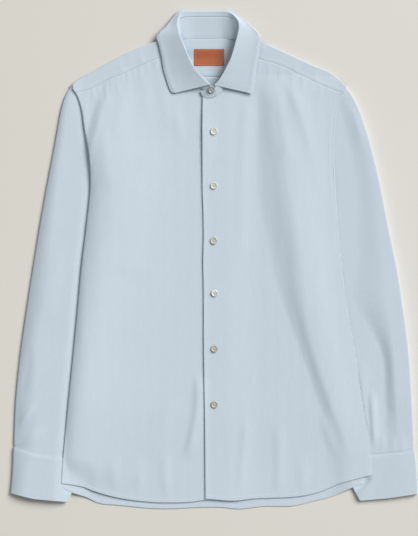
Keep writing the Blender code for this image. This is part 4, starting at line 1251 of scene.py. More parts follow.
def carried_on(base, seam, low_shift, high_shift, height_share):
    """The next places of a tab past the stand's end, moved on and drawn in about its middle."""
    moved_base, moved_seam = base + low_shift, seam + high_shift
    middle = (moved_base + moved_seam) / 2
    height_share = height_share[:, None]
    return middle + (moved_base - middle) * height_share, middle + (moved_seam - middle) * height_share


def stand_points():
    """Rows of the stand from its base to its seam with the leaf, with a tab at each front end."""
    t = np.linspace(-1, 1, COLLAR_STATIONS)
    base, roll = collar_lines(t)
    seam = base + (roll - base) * STAND_SHARE
    over, under = np.array(TAB_OVER_LIFT), np.array(TAB_UNDER_LIFT)
    base = base + tab_share(t) * over
    seam = seam + tab_share(t) * over - tab_share(-t) * under
    d = TAB_LENGTH * np.sin(np.linspace(0, math.pi / 2, 34))[1:]
    round_end = np.sqrt(np.clip(1 - (np.maximum(d - TAB_LENGTH + TAB_ROUND, 0) / TAB_ROUND) ** 2, 0.004, 1))
    dip = -TAB_DROP * np.sin(math.pi * 0.85 * d / TAB_LENGTH)
    low_shift = np.stack([-d, dip, -0.02 * d], axis=-1)
    high_shift = np.stack([-d, dip, -0.22 * d], axis=-1)
    left_base, left_seam = carried_on(base[-1], seam[-1], low_shift, high_shift, round_end)
    e = np.linspace(0, UNDER_TAB_LENGTH, 16)[:0:-1]
    shift = np.stack([e, 0.028 * e * e, 0 * e], axis=-1)
    narrowed = 1 - 0.25 * (e / UNDER_TAB_LENGTH) ** 2
    right_base, right_seam = carried_on(base[0], seam[0], shift, shift, narrowed)
    low = np.concatenate([right_base, base, left_base])
    high = np.concatenate([right_seam, seam, left_seam])
    return low, high


def stand_shell():
    """The stand: straight lines from its base to its seam, its wall thin at its base and its ends."""
    wall = size("collar_wall")
    low, high = stand_points()
    length = np.linalg.norm(high - low, axis=1)
    down = stations(STAND_ROWS, ROUND * wall / 2, ROUND * SEAM_ROUND)
    share, inset, outset = (a[:, None] for a in down)
    at = (inset + (length - inset - outset) * share) / np.maximum(length, 1e-6)
    at = np.clip(at, 0, 1)
    points = low + (high - low) * at[..., None]
    columns = points.shape[1]
    ends = np.clip(np.minimum(np.arange(columns), np.arange(columns)[::-1]) / 3.0, 0, 1)
    thin = rim(*down, wall / 2, SEAM_ROUND)[:, None] * np.sqrt(1 - (1 - ends) ** 2)
    thin = thin * (BASE_THIN + (1 - BASE_THIN) * ease(at * length / BASE_RAMP))
    round_way = np.concatenate([[0], np.cumsum(np.linalg.norm(np.diff(low, axis=0), axis=1))])
    place = on_cloth(round_way[None, :], at * length, "stand")
    return shell(points, thin * wall / 2, thin * wall / 2, place)


def leaf_lines(t):
    """Rows of the leaf from its seam, over the roll and the turn, to its edge."""
    base, roll = collar_lines(t)
    up = roll - base
    gap = LEAF_SEAM_GAP * (1 + 0.6 * tab_share(t))
    seam = base + up * (STAND_SHARE + gap / np.linalg.norm(up, axis=1, keepdims=True))
    over = tab_share(t) * np.array(TAB_OVER_LIFT)
    seam, roll = seam + over, roll + over * 0.6
    turn = collar_line(LEAF, LEAF_COLUMNS, "turn", t)
    edge = collar_line(LEAF, LEAF_COLUMNS, "edge", t)
    narrower = LEAF_NARROWER * ease((335 - turn[:, 1]) / 70) * (t > 0)
    turn[:, 0] -= narrower
    edge[:, 0] -= narrower
    # Behind the neck the leaf turns under the stand, so its underside starts close inside the turn.
    tucked = ease((6.4 - turn[:, 2]) / 2.6)[:, None]
    way = edge - turn
    length = np.linalg.norm(way, axis=1, keepdims=True)
    close = turn + way * np.minimum(2.6 / length, 0.5)
    close[:, 2] = edge[:, 2]
    under = turn + way * 0.4
    under = under + (close - under) * tucked
    drop = turn - roll
    crest = roll + drop * 0.025
    crest[:, 2] = roll[:, 2] + 0.25
    before = roll + drop * 0.45
    before[:, 2] -= 0.5 * (1 - tucked[:, 0])
    near_turn = roll + drop * (0.8 + 0.14 * tucked)
    near_turn[:, 2] += 1.0 * tucked[:, 0] - 0.6 * (1 - tucked[:, 0])
    middle_under = under + (edge - under) * 0.5
    return np.array([seam, roll, crest, before, near_turn, turn, under, middle_under, edge])


def smooth_rows(points, steps):
    """The rows of a grid with steps - 1 more between each two: cubic pieces through them all."""
    rows = len(points)
    at = np.linspace(0, rows - 1, (rows - 1) * steps + 1)
    i = np.minimum(at.astype(int), rows - 2)
    t = (at - i)[:, None, None]
    slopes = np.gradient(points, axis=0)
    return cubic(t, points[i], points[i + 1], slopes[i], slopes[i + 1])


def along_columns(points, share, inset, outset):
    """Points at these stations along each column's line, and their distances from its start and end."""
    steps = np.linalg.norm(np.diff(points, axis=0), axis=2)
    length = np.concatenate([np.zeros((1, points.shape[1])), np.cumsum(steps, axis=0)])
    total = length[-1]
    wanted = inset[:, None] + (total - inset[:, None] - outset[:, None]) * share[:, None]
    apart = np.arange(points.shape[1]) * 1000.0
    keys = (length + apart).T.ravel()
    asked = (wanted + apart).T.ravel()
    got = [np.interp(asked, keys, points[..., k].T.ravel()).reshape(points.shape[1], -1).T for k in range(3)]
    return np.stack(got, axis=-1), wanted, total - wanted


def leaf_grid():
    """The leaf's middle surface, its distances from its front ends and its outer edge, and its rim."""
    wall = size("collar_wall")
    t = front_stations()
    edge_round = ROUND * wall / 2
    down = stations(LEAF_ROWS, ROUND * SEAM_ROUND, np.concatenate([edge_round, LEAF_END_INSETS]))
    points, _, from_edge = along_columns(smooth_rows(leaf_lines(t), LEAF_STEPS), *down)
    from_front = np.broadcast_to((1 - np.abs(t)) * STATION_LENGTH, from_edge.shape)
    # The right leaf's point is worn round: its square corner is drawn in to a quarter circle.
    a, b = (np.clip(1 - d / TIP_ROUND, 0, 1) for d in (from_front, from_edge))
    worn = t < -0.5
    move_a = TIP_ROUND * a * (1 - np.sqrt(1 - b * b / 2)) * worn
    move_b = TIP_ROUND * b * (1 - np.sqrt(1 - a * a / 2)) * worn
    into_front = unit(np.gradient(points, axis=1))
    into_seam = -unit(np.gradient(points, axis=0))
    points = points + into_front * move_a[..., None] + into_seam * move_b[..., None]
    thin = rim(*down, SEAM_ROUND, wall / 2)[:, None] * round_share(from_front, wall / 2)
    thin[:, [0, -1]] = 0
    thin[[0, -1]] = 0
    return points, from_front, from_edge, thin


def leaf_shell():
    """The leaf: its wall on the leaf's surface, pressed in at its stitch line and full outside it."""
    wall = size("collar_wall")
    points, from_front, from_edge, thin = leaf_grid()
    from_rim = np.minimum(from_front, from_edge)
    pressed = GROOVE * bell((from_rim - STITCH_IN) / 0.6)
    raised = 0.05 * ease((STITCH_IN - from_rim) / 0.6)
    place = on_cloth(points[..., 0], points[..., 1], "leaf")
    return shell(points, thin * (wall / 2 - pressed + raised), thin * wall / 2, place)


# ---------------------------------------------------------------- label, threads and buttons

LABEL_BOX = ((-31.0, 303.0), (16.0, 329.0))
LABEL_STITCH_IN = 1.7
LABEL_STITCH = (1.9, 1.5)  # from one to the next, and the length of each
BUTTON_PLACES = ((0, 200), (0, 115), (0, 29), (1, -53), (1, -140), (1, -227))
NECK_BUTTON_X, NECK_BUTTON_UP = -1.4, 0.95
HOLE_RADIUS, HOLE_OFFSET = 0.75, 1.35
BUTTONHOLE_LENGTH, BUTTONHOLE_HALF, BUTTONHOLE_PITCH = 15.0, 0.75, 0.8


def label_height(x, y):
    """Mid-height of the label, just over the yoke."""
    return base_height(x, y) + size("wall") / 2 + size("label_wall") / 2 + 0.25


def label_shell():
    """The label: a flat rectangle over the yoke, its lower edge lifting a little beside its middle."""
    wall = size("label_wall")
    (x1, y1), (x2, y2) = LABEL_BOX
    edge_round = ROUND * wall / 2
    across, down = stations(44, edge_round, edge_round), stations(24, edge_round, edge_round)
    share, inset, outset = across
    x = (x1 + inset + (x2 - x1 - inset - outset) * share)[None, :]
    share, inset, outset = down
    y = (y2 - inset - (y2 - y1 - inset - outset) * share)[:, None]
    x, y = np.broadcast_arrays(x, y)
    z = label_height(x, y) + 0.25 * bell((y - y1) / 5.0) * ease((np.abs(x + 8) - 4) / 14)
    thin = rim(*down, wall / 2)[:, None] * rim(*across, wall / 2)
    place = on_cloth(x, y, "label")
    return shell(np.stack([x, y, z], axis=-1), thin * wall / 2, thin * wall / 2, place)


def stitch_bars(middles, along, normals, length, radius):
    """Stitches as short rounded bars: rings of points round each one's own line, sunk at both ends."""
    along = unit(along)
    normals = unit(normals - (normals * along).sum(axis=-1, keepdims=True) * along)
    across = np.cross(along, normals)
    place = column(STITCH, STITCH_COLUMNS, "along") * length
    width = column(STITCH, STITCH_COLUMNS, "radius") * radius
    sink = column(STITCH, STITCH_COLUMNS, "sink") * radius
    angles = np.linspace(0, 2 * math.pi, STITCH_SIDES, endpoint=False)
    local = np.stack(
        [
            np.broadcast_to(place[:, None], (len(place), STITCH_SIDES)),
            width[:, None] * np.cos(angles),
            width[:, None] * np.sin(angles) - sink[:, None],
        ],
        axis=-1,
    )
    frames = np.stack([along, across, normals], axis=1)
    points = middles[:, None, None, :] + np.einsum("rsk,nkc->nrsc", local, frames)
    per = len(place) * STITCH_SIDES
    ids = np.arange(per).reshape(len(place), STITCH_SIDES)
    sides = grid_quads(ids, True)
    # Each end is two quads that share the line between corners 0 and 3.
    first = ids[0][[[0, 3, 2, 1], [0, 5, 4, 3]]]
    last = ids[-1][[[0, 1, 2, 3], [0, 3, 4, 5]]]
    template = np.concatenate([sides, first, last])[:, ::-1]
    quads = (template[None] + per * np.arange(len(middles))[:, None, None]).reshape(-1, 4)
    vertices = points.reshape(-1, 3)
    return vertices, quads, vertices.copy()


def stitch_row(path, normals, lift, pitch=None, length=None):
    """Stitches spaced evenly along a path of points, with the sidebar's pitch if none is given."""
    pitch = pitch or size("stitch")
    length = length or STITCH_SHARE * pitch
    steps = np.linalg.norm(np.diff(path, axis=0), axis=1)
    way = np.concatenate([[0], np.cumsum(steps)])
    count = max(int(way[-1] / pitch), 1)
    at = (np.arange(count) + 0.5) * way[-1] / count

    def read(values, where):
        return np.stack([np.interp(where, way, values[:, k]) for k in range(3)], axis=-1)

    middles = read(path, at)
    along = read(path, at + 0.3) - read(path, at - 0.3)
    normal = read(normals, at)
    return stitch_bars(middles + unit(normal) * lift, along, normal, length, size("thread"))


def surface_path(x, y, height):
    """A path on a surface z = height(x, y) and its normals, from the height's slopes."""
    z = height(x, y)
    step = 0.5
    slope_x = (height(x + step, y) - height(x - step, y)) / (2 * step)
    slope_y = (height(x, y + step) - height(x, y - step)) / (2 * step)
    return np.stack([x, y, z], axis=-1), np.stack([-slope_x, -slope_y, np.ones_like(x)], axis=-1)


def row_on(x, y, height):
    """Stitches along a line on a surface z = height(x, y)."""
    path, normals = surface_path(np.asarray(x, float), np.asarray(y, float), height)
    return stitch_row(path, normals, 0.05)


def hem_rows():
    """The stitch row of each hem, a little inside the turned band's edge."""
    rise = size("wall") / 2 + HEM_RAISE - GROOVE
    made = []
    for name, start, end, count, height in (
        ("front_right", side_x("right_body", -355.0) + 4, -20, 200, lambda x, y: front_height("right", x, y)),
        ("front_left", -11, side_x("left_body", -340.0) - 4, 200, lambda x, y: front_height("left", x, y)),
        ("back", -226, 236, 300, base_height),
    ):
        x = np.linspace(start, end, count)
        made.append(row_on(x, hem_line(name, x) + HEM_STITCH, lambda x, y, h=height: h(x, y) + rise))
    return made


def seam_rows():
    """Rows on the yoke's flaps, two along each armhole, and on the yoke's inner seam."""
    wall = size("wall")
    on_welt = wall / 2 + WELT_RAISE - GROOVE
    made = []
    for side in ("right", "left"):
        sign, seam = outward(side), FRONT_SEAM[side]
        inner, outer = (sorted(seam, key=lambda p: abs(p[0]))[k][0] for k in (0, -1))

        def on_flap(x, y, side=side):
            return flap_height(side, x, y) + creases(x, y, FLAP_CREASES) + on_welt

        x = np.linspace(inner, outer - sign * 3, 200)
        made.append(row_on(x, line_of(seam, x) + FLAP_STITCH, on_flap))
        y = np.linspace(ARMHOLE_LOW + 8, 256, 160)
        for inset in (1.8, 8.2):
            x = side_x(side + "_body", y) - sign * inset
            made.append(row_on(x, y, lambda x, y, s=side: front_height(s, x, y) + wall / 2))
    x = np.linspace(-44, 30, 90)
    made.append(row_on(x, back_seam_y(x) + FLAP_STITCH, lambda x, y: base_height(x, y) + on_welt))
    return made


def cuff_rows(side):
    """Two rows round the visible side of a cuff, a little inside its seam and its lower edge."""
    wall = size("cuff_wall")
    sign = outward(side)
    outer, inner = side_x(side + "_sleeve", -330.0), inner_x(side, -330.0)
    x = np.linspace(outer - sign * 4, inner + sign * 4, 120)

    def height(x, y):
        distance = sign * (side_x(side + "_sleeve", y) + sign * 0.4 - x)
        from_inner = sign * (x - inner_x(side, y)) + 0.4
        half = cuff_half(side, distance, from_inner, x, y)
        return wall + half + half * round_share(distance, CUFF_FOLD[side][0]) - GROOVE

    return [
        row_on(x, cuff_top(side, x) - CUFF_STITCH, height),
        row_on(x, cuff_bottom(side, x) + CUFF_STITCH, height),
    ]


def grid_path(points, rows, columns):
    """Points and normals of a grid at these fractional rows and columns."""
    normals = grid_normals(points, False)
    if normals[..., 2].sum() < 0:
        normals = -normals
    i = np.clip(np.floor(rows).astype(int), 0, points.shape[0] - 2)
    j = np.clip(np.floor(columns).astype(int), 0, points.shape[1] - 2)
    a, b = (rows - i)[:, None], (columns - j)[:, None]

    def read(values):
        low = values[i, j] * (1 - b) + values[i, j + 1] * b
        high = values[i + 1, j] * (1 - b) + values[i + 1, j + 1] * b
        return low * (1 - a) + high * a

    return read(points), read(normals)


def leaf_rows():
    """The leaf's stitch row: from near the neck along its outer edge, then up its front end, on each side."""
    points, from_front, from_edge, _ = leaf_grid()
    rows_at = np.arange(points.shape[0], dtype=float)
    columns_at = np.arange(points.shape[1], dtype=float)
    half, middle = points.shape[1] // 2, points.shape[1] / 2
    edge_row = np.interp(-STITCH_IN, -from_edge[:, 0], rows_at)
    made = []
    for part, order in ((slice(0, half), 1), (slice(half, None), -1)):
        front_column = np.interp(STITCH_IN, from_front[0][part][::order], columns_at[part][::order])
        columns = np.linspace(middle + (front_column - middle) * 0.36, front_column, 160)
        rows = np.concatenate([np.full_like(columns, edge_row), np.linspace(edge_row, 10, 120)])
        path, normals = grid_path(points, rows, np.concatenate([columns, np.full(120, front_column)]))
        made.append(stitch_row(path, normals, size("collar_wall") / 2 - GROOVE + 0.05))
    return made


def stand_rows():
    """Two rows near the stand's base behind the neck."""
    low, high = stand_points()
    count = len(low)
    middle = slice(count // 2 - 62, count // 2 + 46)
    made = []
    for up in (2.0, 5.2):
        way = unit(high - low)
        path = (low + way * up)[middle]
        tangent = np.gradient(path, axis=0)
        normals = unit(np.cross(tangent, way[middle]))
        inside = np.array([0.0, -1.0, 0.6])
        normals = normals * np.sign((normals * inside).sum(axis=1, keepdims=True))
        made.append(stitch_row(path, normals, size("collar_wall") / 2))
    return made


def label_rows():
    """The pale border sewn round the label."""
    (x1, y1), (x2, y2) = LABEL_BOX
    x1, y1, x2, y2 = x1 + LABEL_STITCH_IN, y1 + LABEL_STITCH_IN, x2 - LABEL_STITCH_IN, y2 - LABEL_STITCH_IN
    corners = np.array([(x1, y1), (x2, y1), (x2, y2), (x1, y2), (x1, y1)])
    at = np.linspace(0, 4, 400)
    x, y = (np.interp(at, np.arange(5), corners[:, k]) for k in range(2))
    path, normals = surface_path(x, y, lambda x, y: label_height(x, y) + size("label_wall") / 2)
    return [stitch_row(path, normals, 0.08, *LABEL_STITCH)]


def buttonhole_rows():
    """Each buttonhole as two close columns of short bars and a bar at each end, upright under its button."""
    made = []

    def on_front(x, y):
        return front_height("left", x, y) + size("wall") / 2 + 0.1

    for x0, y0 in BUTTON_PLACES:
        y = y0 + np.arange(-BUTTONHOLE_LENGTH / 2, BUTTONHOLE_LENGTH / 2 + 0.1, BUTTONHOLE_PITCH)
        for sign in (-1, 1):
            x = np.full_like(y, x0 + sign * BUTTONHOLE_HALF)
            path, normals = surface_path(x, y, on_front)
            along = np.stack([np.ones_like(y), np.full_like(y, 0.25 * sign), np.zeros_like(y)], axis=-1)
            made.append(stitch_bars(path, along, normals, 1.35, 0.2))
        y = np.array([y0 - BUTTONHOLE_LENGTH / 2 - 0.3, y0 + BUTTONHOLE_LENGTH / 2 + 0.3])
        x = np.full_like(y, x0)
        path, normals = surface_path(x, y, on_front)
        along = np.tile([1.0, 0.0, 0.0], (2, 1))
        made.append(stitch_bars(path, along, normals, 2.6, 0.24))
    return made


def button_frame(node):
    """A button's middle and its three axes: from its place on the front, or on the neck tab."""
    if node == "button_neck":
        low, high = stand_points()
        k = np.abs(low[-33:, 0] - NECK_BUTTON_X).argmin() - 33
        way = unit(high[k] - low[k])
        along = unit(low[k + 4] - low[k - 4])
        facing = np.cross(way, along)
        facing = facing if facing[2] > 0 else -facing
        middle = low[k] + (high[k] - low[k]) * NECK_BUTTON_UP + facing * (size("collar_wall") / 2 + 0.2)
        return middle, facing
    x, y = BUTTON_PLACES[FRONT_BUTTON_NODES.index(node)]
    x, y = np.array([float(x)]), np.array([float(y)])
    z = front_height("left", x, y) + size("wall") / 2 + 0.45
    return np.array([x[0], y[0], z[0]]), np.array([0.0, 0.0, 1.0])


def button_matrix(node, turn, tip_x, tip_y):
    """Where a button goes: turned about its own axis, tipped, faced and moved to its place."""
    middle, facing = button_frame(node)
    frame_turn = Vector(facing).to_track_quat("Z", "Y").to_matrix().to_4x4()
    tip = Matrix.Rotation(math.radians(tip_x), 4, "X") @ Matrix.Rotation(math.radians(tip_y), 4, "Y")
    spin = Matrix.Rotation(math.radians(turn), 4, "Z")
    return Matrix.Translation(Vector(middle) * MM) @ frame_turn @ tip @ spin


def button_blank():
    """A turned button with four holes drilled through it: its profile carried round, then the holes cut."""
    radius, height = size("button_radius") * MM, size("button_height") * MM
    build = bmesh.new()
    rings = []
    for share, up in BUTTON_PROFILE:
        if share == 0:
            rings.append([build.verts.new((0, 0, height * up))])
            continue
        reach = radius * share
        angles = [2 * math.pi * k / BUTTON_SIDES for k in range(BUTTON_SIDES)]
        ring = [(reach * math.cos(a), reach * math.sin(a), height * up) for a in angles]
        rings.append([build.verts.new(point) for point in ring])
    for lower, upper in zip(rings, rings[1:]):
        for k in range(BUTTON_SIDES):
            m = (k + 1) % BUTTON_SIDES
            ends = [row[n % len(row)] for row, n in ((lower, k), (lower, m), (upper, m), (upper, k))]
            build.faces.new(list(dict.fromkeys(ends)))
    bmesh.ops.recalc_face_normals(build, faces=build.faces)
    mesh = bpy.data.meshes.new("button_blank")
    build.to_mesh(mesh)
    build.free()
    blank = place_object("button_blank", mesh)
    drills = bmesh.new()
    for sx, sy in ((1, 1), (-1, 1), (-1, -1), (1, -1)):
        place = Matrix.Translation((sx * HOLE_OFFSET * MM, sy * HOLE_OFFSET * MM, 0))
        bmesh.ops.create_cone(
            drills, cap_ends=True, segments=14, radius1=HOLE_RADIUS * MM, radius2=HOLE_RADIUS * MM,
            depth=4 * height, matrix=place,
        )
    cutter_mesh = bpy.data.meshes.new("button_drill")
    drills.to_mesh(cutter_mesh)
    drills.free()
    cutter = place_object("button_drill", cutter_mesh)
    cut = blank.modifiers.new("holes", "BOOLEAN")
    cut.operation, cut.solver, cut.object = "DIFFERENCE", "EXACT", cutter
    bpy.context.view_layer.update()
    graph = bpy.context.evaluated_depsgraph_get()
    finished = bpy.data.meshes.new_from_object(blank.evaluated_get(graph))
    for helper in (blank, cutter):
        bpy.data.objects.remove(helper)
    finished.materials.clear()
    return finished


# ---------------------------------------------------------------- materials


class Nodes:
    """A material's nodes, added and joined by name."""

    def __init__(self, tree):
        self.tree = tree

    def add(self, kind, inputs=None, **settings):
        """A node of this kind with these settings and inputs."""
        made = self.tree.nodes.new(kind)
        for key, value in settings.items():
            setattr(made, key, value)
        for key, value in (inputs or {}).items():
            self.put(made.inputs[key], value)
        return made

    def put(self, socket, value):
        """Join a socket to another one, or give it a value."""
        if isinstance(value, bpy.types.NodeSocket):
            self.tree.links.new(value, socket)
        else:
            socket.default_value = value

    def math(self, operation, a, b=0.0):
        """One sum, product or sine."""
        return self.add("ShaderNodeMath", {0: a, 1: b}, operation=operation).outputs[0]

    def mix(self, factor, a, b):
        """Two colours mixed."""
        made = self.add("ShaderNodeMix", data_type="RGBA")
        self.put(made.inputs["Factor"], factor)
        self.put(made.inputs[6], a)
        self.put(made.inputs[7], b)
        return made.outputs[2]

    def noise(self, vector, scale, detail=2.0, roughness=0.5):
        """A cloudy value."""
        made = self.add(
            "ShaderNodeTexNoise", {"Vector": vector, "Scale": scale, "Detail": detail, "Roughness": roughness}
        )
        return made.outputs["Fac"]

    def between(self, value, low, high, start=0.0, end=1.0):
        """A value carried from one range to another."""
        made = self.add(
            "ShaderNodeMapRange",
            {"Value": value, "From Min": low, "From Max": high, "To Min": start, "To Max": end},
        )
        return made.outputs["Result"]

    def cloth_place(self):
        """The place on the cloth, from the mesh."""
        return self.add("ShaderNodeAttribute", attribute_name="cloth_place").outputs["Vector"]

    def stretched(self, place, *scale):
        """A place scaled along each direction."""
        return self.add("ShaderNodeMapping", {"Vector": place, "Scale": scale}).outputs["Vector"]

    def surface(self, shader, tone, roughness, height, distance, strength):
        """Put a colour, a roughness and a bump of this height on a shader."""
        self.put(shader.inputs["Base Color"], tone)
        self.put(shader.inputs["Roughness"], roughness)
        bump = self.add("ShaderNodeBump", {"Height": height, "Distance": distance, "Strength": strength})
        self.put(shader.inputs["Normal"], bump.outputs["Normal"])


def new_material(name):
    """A material, its nodes and its shader."""
    made = bpy.data.materials.new(name)
    made.use_nodes = True
    nodes = Nodes(made.node_tree)
    shader = made.node_tree.nodes["Principled BSDF"]
    return made, nodes, shader


def colour(values, share=1.0):
    """A colour with its alpha, brightened or darkened by this share."""
    return (*(min(v * share, 1.0) for v in values), 1.0)


def cord_material(name, base, pitch, depth):
    """Needlecord: rounded wales along the cloth with painted shade in the grooves, faint streaks, nap and a
    soft sheen.
    """
    made, nodes, shader = new_material(name)
    place = nodes.cloth_place()
    across = nodes.add("ShaderNodeSeparateXYZ", {"Vector": place}).outputs["X"]
    wander = nodes.noise(place, 45.0, 1.0)
    shifted = nodes.math("ADD", across, nodes.math("MULTIPLY", wander, pitch * 0.9))
    wave = nodes.math("SINE", nodes.math("MULTIPLY", shifted, 2 * math.pi / pitch))
    wale = nodes.between(wave, -1.0, 1.0)
    streak = nodes.noise(nodes.stretched(place, 760.0, 45.0, 30.0), 1.0, 3.0, 0.6)
    tufts = nodes.noise(nodes.stretched(place, 900.0, 300.0, 30.0), 1.0, 2.0)
    blotch = nodes.noise(place, 14.0, 3.0)
    # Painted shade and light: darker in the grooves between the wales, lighter on their tops.
    painted_groove_shade = nodes.mix(wale, colour(base, 0.92), colour(base, 1.04))
    streaked = nodes.mix(nodes.between(streak, 0.3, 0.7), colour(base, 0.955), colour(base, 1.045))
    mixed = nodes.mix(0.5, painted_groove_shade, streaked)
    toned = nodes.mix(nodes.between(blotch, 0.3, 0.7, 0.0, 0.25), mixed, colour(base, 0.97))
    height = nodes.math("ADD", wale, nodes.math("MULTIPLY", tufts, 0.5))
    nodes.surface(shader, toned, nodes.between(tufts, 0.2, 0.8, 0.78, 0.96), height, depth, 0.9)
    shader.inputs["Sheen Weight"].default_value = 0.06
    shader.inputs["Sheen Roughness"].default_value = 0.5
    shader.inputs["Specular IOR Level"].default_value = 0.2
    return made


def tape_material(name, base):
    """A woven tape: fine crossing threads and uneven colour."""
    made, nodes, shader = new_material(name)
    place = nodes.cloth_place()
    apart = nodes.add("ShaderNodeSeparateXYZ", {"Vector": place})
    weft = nodes.math("SINE", nodes.math("MULTIPLY", apart.outputs["Y"], 2 * math.pi / 0.0007))
    warp = nodes.math("SINE", nodes.math("MULTIPLY", apart.outputs["X"], 2 * math.pi / 0.0009))
    weave = nodes.between(nodes.math("MULTIPLY", weft, warp), -1.0, 1.0)
    uneven = nodes.noise(place, 220.0, 3.0)
    woven = nodes.mix(weave, colour(base, 0.90), colour(base, 1.08))
    toned = nodes.mix(nodes.between(uneven, 0.35, 0.7, 0.0, 0.5), woven, colour(base, 0.92))
    nodes.surface(shader, toned, nodes.between(uneven, 0.2, 0.8, 0.6, 0.8), weave, 0.00008, 0.8)
    return made


def thread_material(name, base):
    """Sewing thread: a twist of lighter and darker strands."""
    made, nodes, shader = new_material(name)
    twist = nodes.noise(nodes.cloth_place(), 1600.0, 2.0)
    toned = nodes.mix(twist, colour(base, 0.86), colour(base, 1.1))
    nodes.surface(shader, toned, nodes.between(twist, 0.2, 0.8, 0.55, 0.75), twist, 0.00005, 0.6)
    return made


# The pearls: pale and dark of each.
PEARLS = (
    ((0.73, 0.73, 0.66), (0.56, 0.56, 0.50)),
    ((0.60, 0.61, 0.56), (0.44, 0.45, 0.40)),
    ((0.54, 0.53, 0.46), (0.38, 0.375, 0.32)),
    ((0.80, 0.81, 0.80), (0.46, 0.47, 0.48)),
    # The last one, darker, is for the neck button: painted shade from under the collar.
    ((0.44, 0.45, 0.42), (0.22, 0.23, 0.23)),
)


def pearl_material(name, pale, dark):
    """Mother of pearl: drifting clouds of two tones with fine growth lines, under a clear gloss."""
    made, nodes, shader = new_material(name)
    place = nodes.cloth_place()
    cloud = nodes.noise(place, 190.0, 3.0, 0.6)
    growth = nodes.noise(nodes.stretched(place, 300.0, 1500.0, 300.0), 1.0, 2.0)
    toned = nodes.mix(nodes.between(cloud, 0.35, 0.65), colour(dark), colour(pale))
    lined = nodes.mix(nodes.between(growth, 0.4, 0.7, 0.0, 0.35), toned, colour(pale, 1.15))
    nodes.surface(shader, lined, nodes.between(cloud, 0.2, 0.8, 0.22, 0.38), growth, 0.00003, 0.5)
    shader.inputs["Coat Weight"].default_value = 0.35
    shader.inputs["Coat Roughness"].default_value = 0.1
    return made


def floor_material(left, right):
    """A smooth pale floor with painted light falloff: a little brighter towards the right, with painted shade
    towards the bottom.
    """
    made, nodes, shader = new_material("floor_painted_light")
    place = nodes.add("ShaderNodeTexCoord").outputs["Object"]
    apart = nodes.add("ShaderNodeSeparateXYZ", {"Vector": place})
    share = nodes.between(apart.outputs["X"], -0.34, 0.33)
    cloud = nodes.noise(place, 3.0, 2.0)
    # Painted light falloff: the floor's colour goes from darker on the left to brighter on the right.
    toned = nodes.mix(share, colour(left), colour(right))
    # Painted shade: darker towards the bottom.
    low = nodes.between(apart.outputs["Y"], -0.44, -0.2, 0.5, 0.0)
    toned = nodes.mix(low, toned, colour(left, 0.95))
    toned = nodes.mix(nodes.between(cloud, 0.3, 0.7, 0.0, 0.12), toned, colour(left, 0.97))
    nodes.put(shader.inputs["Base Color"], toned)
    nodes.put(shader.inputs["Roughness"], nodes.between(cloud, 0.3, 0.7, 0.88, 0.96))
    shader.inputs["Specular IOR Level"].default_value = 0.1
    return made


def cord():
    """The cord, made once and shared by all its pieces."""
    looks = bpy.context.scene.shirt_looks
    found = bpy.data.materials.get("needlecord")
    return found or cord_material("needlecord", looks.cloth, looks.wale, looks.wale_depth)


# ---------------------------------------------------------------- operators


def sew_on(made, node):
    """Make a finished object part of the shirt, in the place of its plain solid."""
    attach(made, "root")
    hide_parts(node)


class SHIRT_OT_sleeves(bpy.types.Operator):
    """Make the two sleeves and their cuffs."""

    bl_idname = "shirt.sleeves"
    bl_label = "Sleeves and cuffs"

    def execute(self, context):
        for side in ("right", "left"):
            for node, make in (("sleeve_" + side, sleeve_shell), ("cuff_" + side, cuff_shell)):
                sew_on(add_piece(node + "_cloth", [make(side)], cord()), node)
        return {"FINISHED"}


class SHIRT_OT_body(bpy.types.Operator):
    """Make the back, the yoke and the two fronts."""

    bl_idname = "shirt.body"
    bl_label = "Back, yoke and fronts"

    def execute(self, context):
        for name, node, parts in (
            ("back_cloth", "back_panel", [back_shell()]),
            ("yoke_cloth", "yoke", yoke_shells()),
            ("front_right_cloth", "front_right", [front_shell("right")]),
            ("front_left_cloth", "front_left", [front_shell("left")]),
        ):
            sew_on(add_piece(name, parts, cord()), node)
        return {"FINISHED"}


class SHIRT_OT_collar(bpy.types.Operator):
    """Make the collar's stand and leaf, and the label inside it."""

    bl_idname = "shirt.collar"
    bl_label = "Collar and label"

    def execute(self, context):
        looks = context.scene.shirt_looks
        tape = tape_material("label_weave", looks.label)
        for name, node, parts, material in (
            ("collar_stand_cloth", "collar_stand", [stand_shell()], cord()),
            ("collar_leaf_cloth", "collar_leaf", [leaf_shell()], cord()),
            ("neck_label_tape", "neck_label", [label_shell()], tape),
        ):
            sew_on(add_piece(name, parts, material), node)
        return {"FINISHED"}


class SHIRT_OT_buttons(bpy.types.Operator):
    """Make the seven buttons."""

    bl_idname = "shirt.buttons"
    bl_label = "Buttons"

    def execute(self, context):
        blank = button_blank()
        pearls = [pearl_material(f"pearl_{k + 1}", *tones) for k, tones in enumerate(PEARLS)]
        for node, turn, tip_x, tip_y, pearl in BUTTONS:
            mesh = blank.copy()
            mesh.name = node + "_pearl"
            mesh.transform(button_matrix(node, turn, tip_x, tip_y))
            points = np.empty(len(mesh.vertices) * 3, np.float32)
            mesh.vertices.foreach_get("co", points)
            attribute = mesh.attributes.new("cloth_place", "FLOAT_VECTOR", "POINT")
            attribute.data.foreach_set("vector", points)
            mesh.shade_smooth()
            mesh.set_sharp_from_angle(angle=math.radians(42))
            mesh.materials.append(pearls[pearl])
            sew_on(place_object(mesh.name, mesh), node)
        bpy.data.meshes.remove(blank)
        return {"FINISHED"}


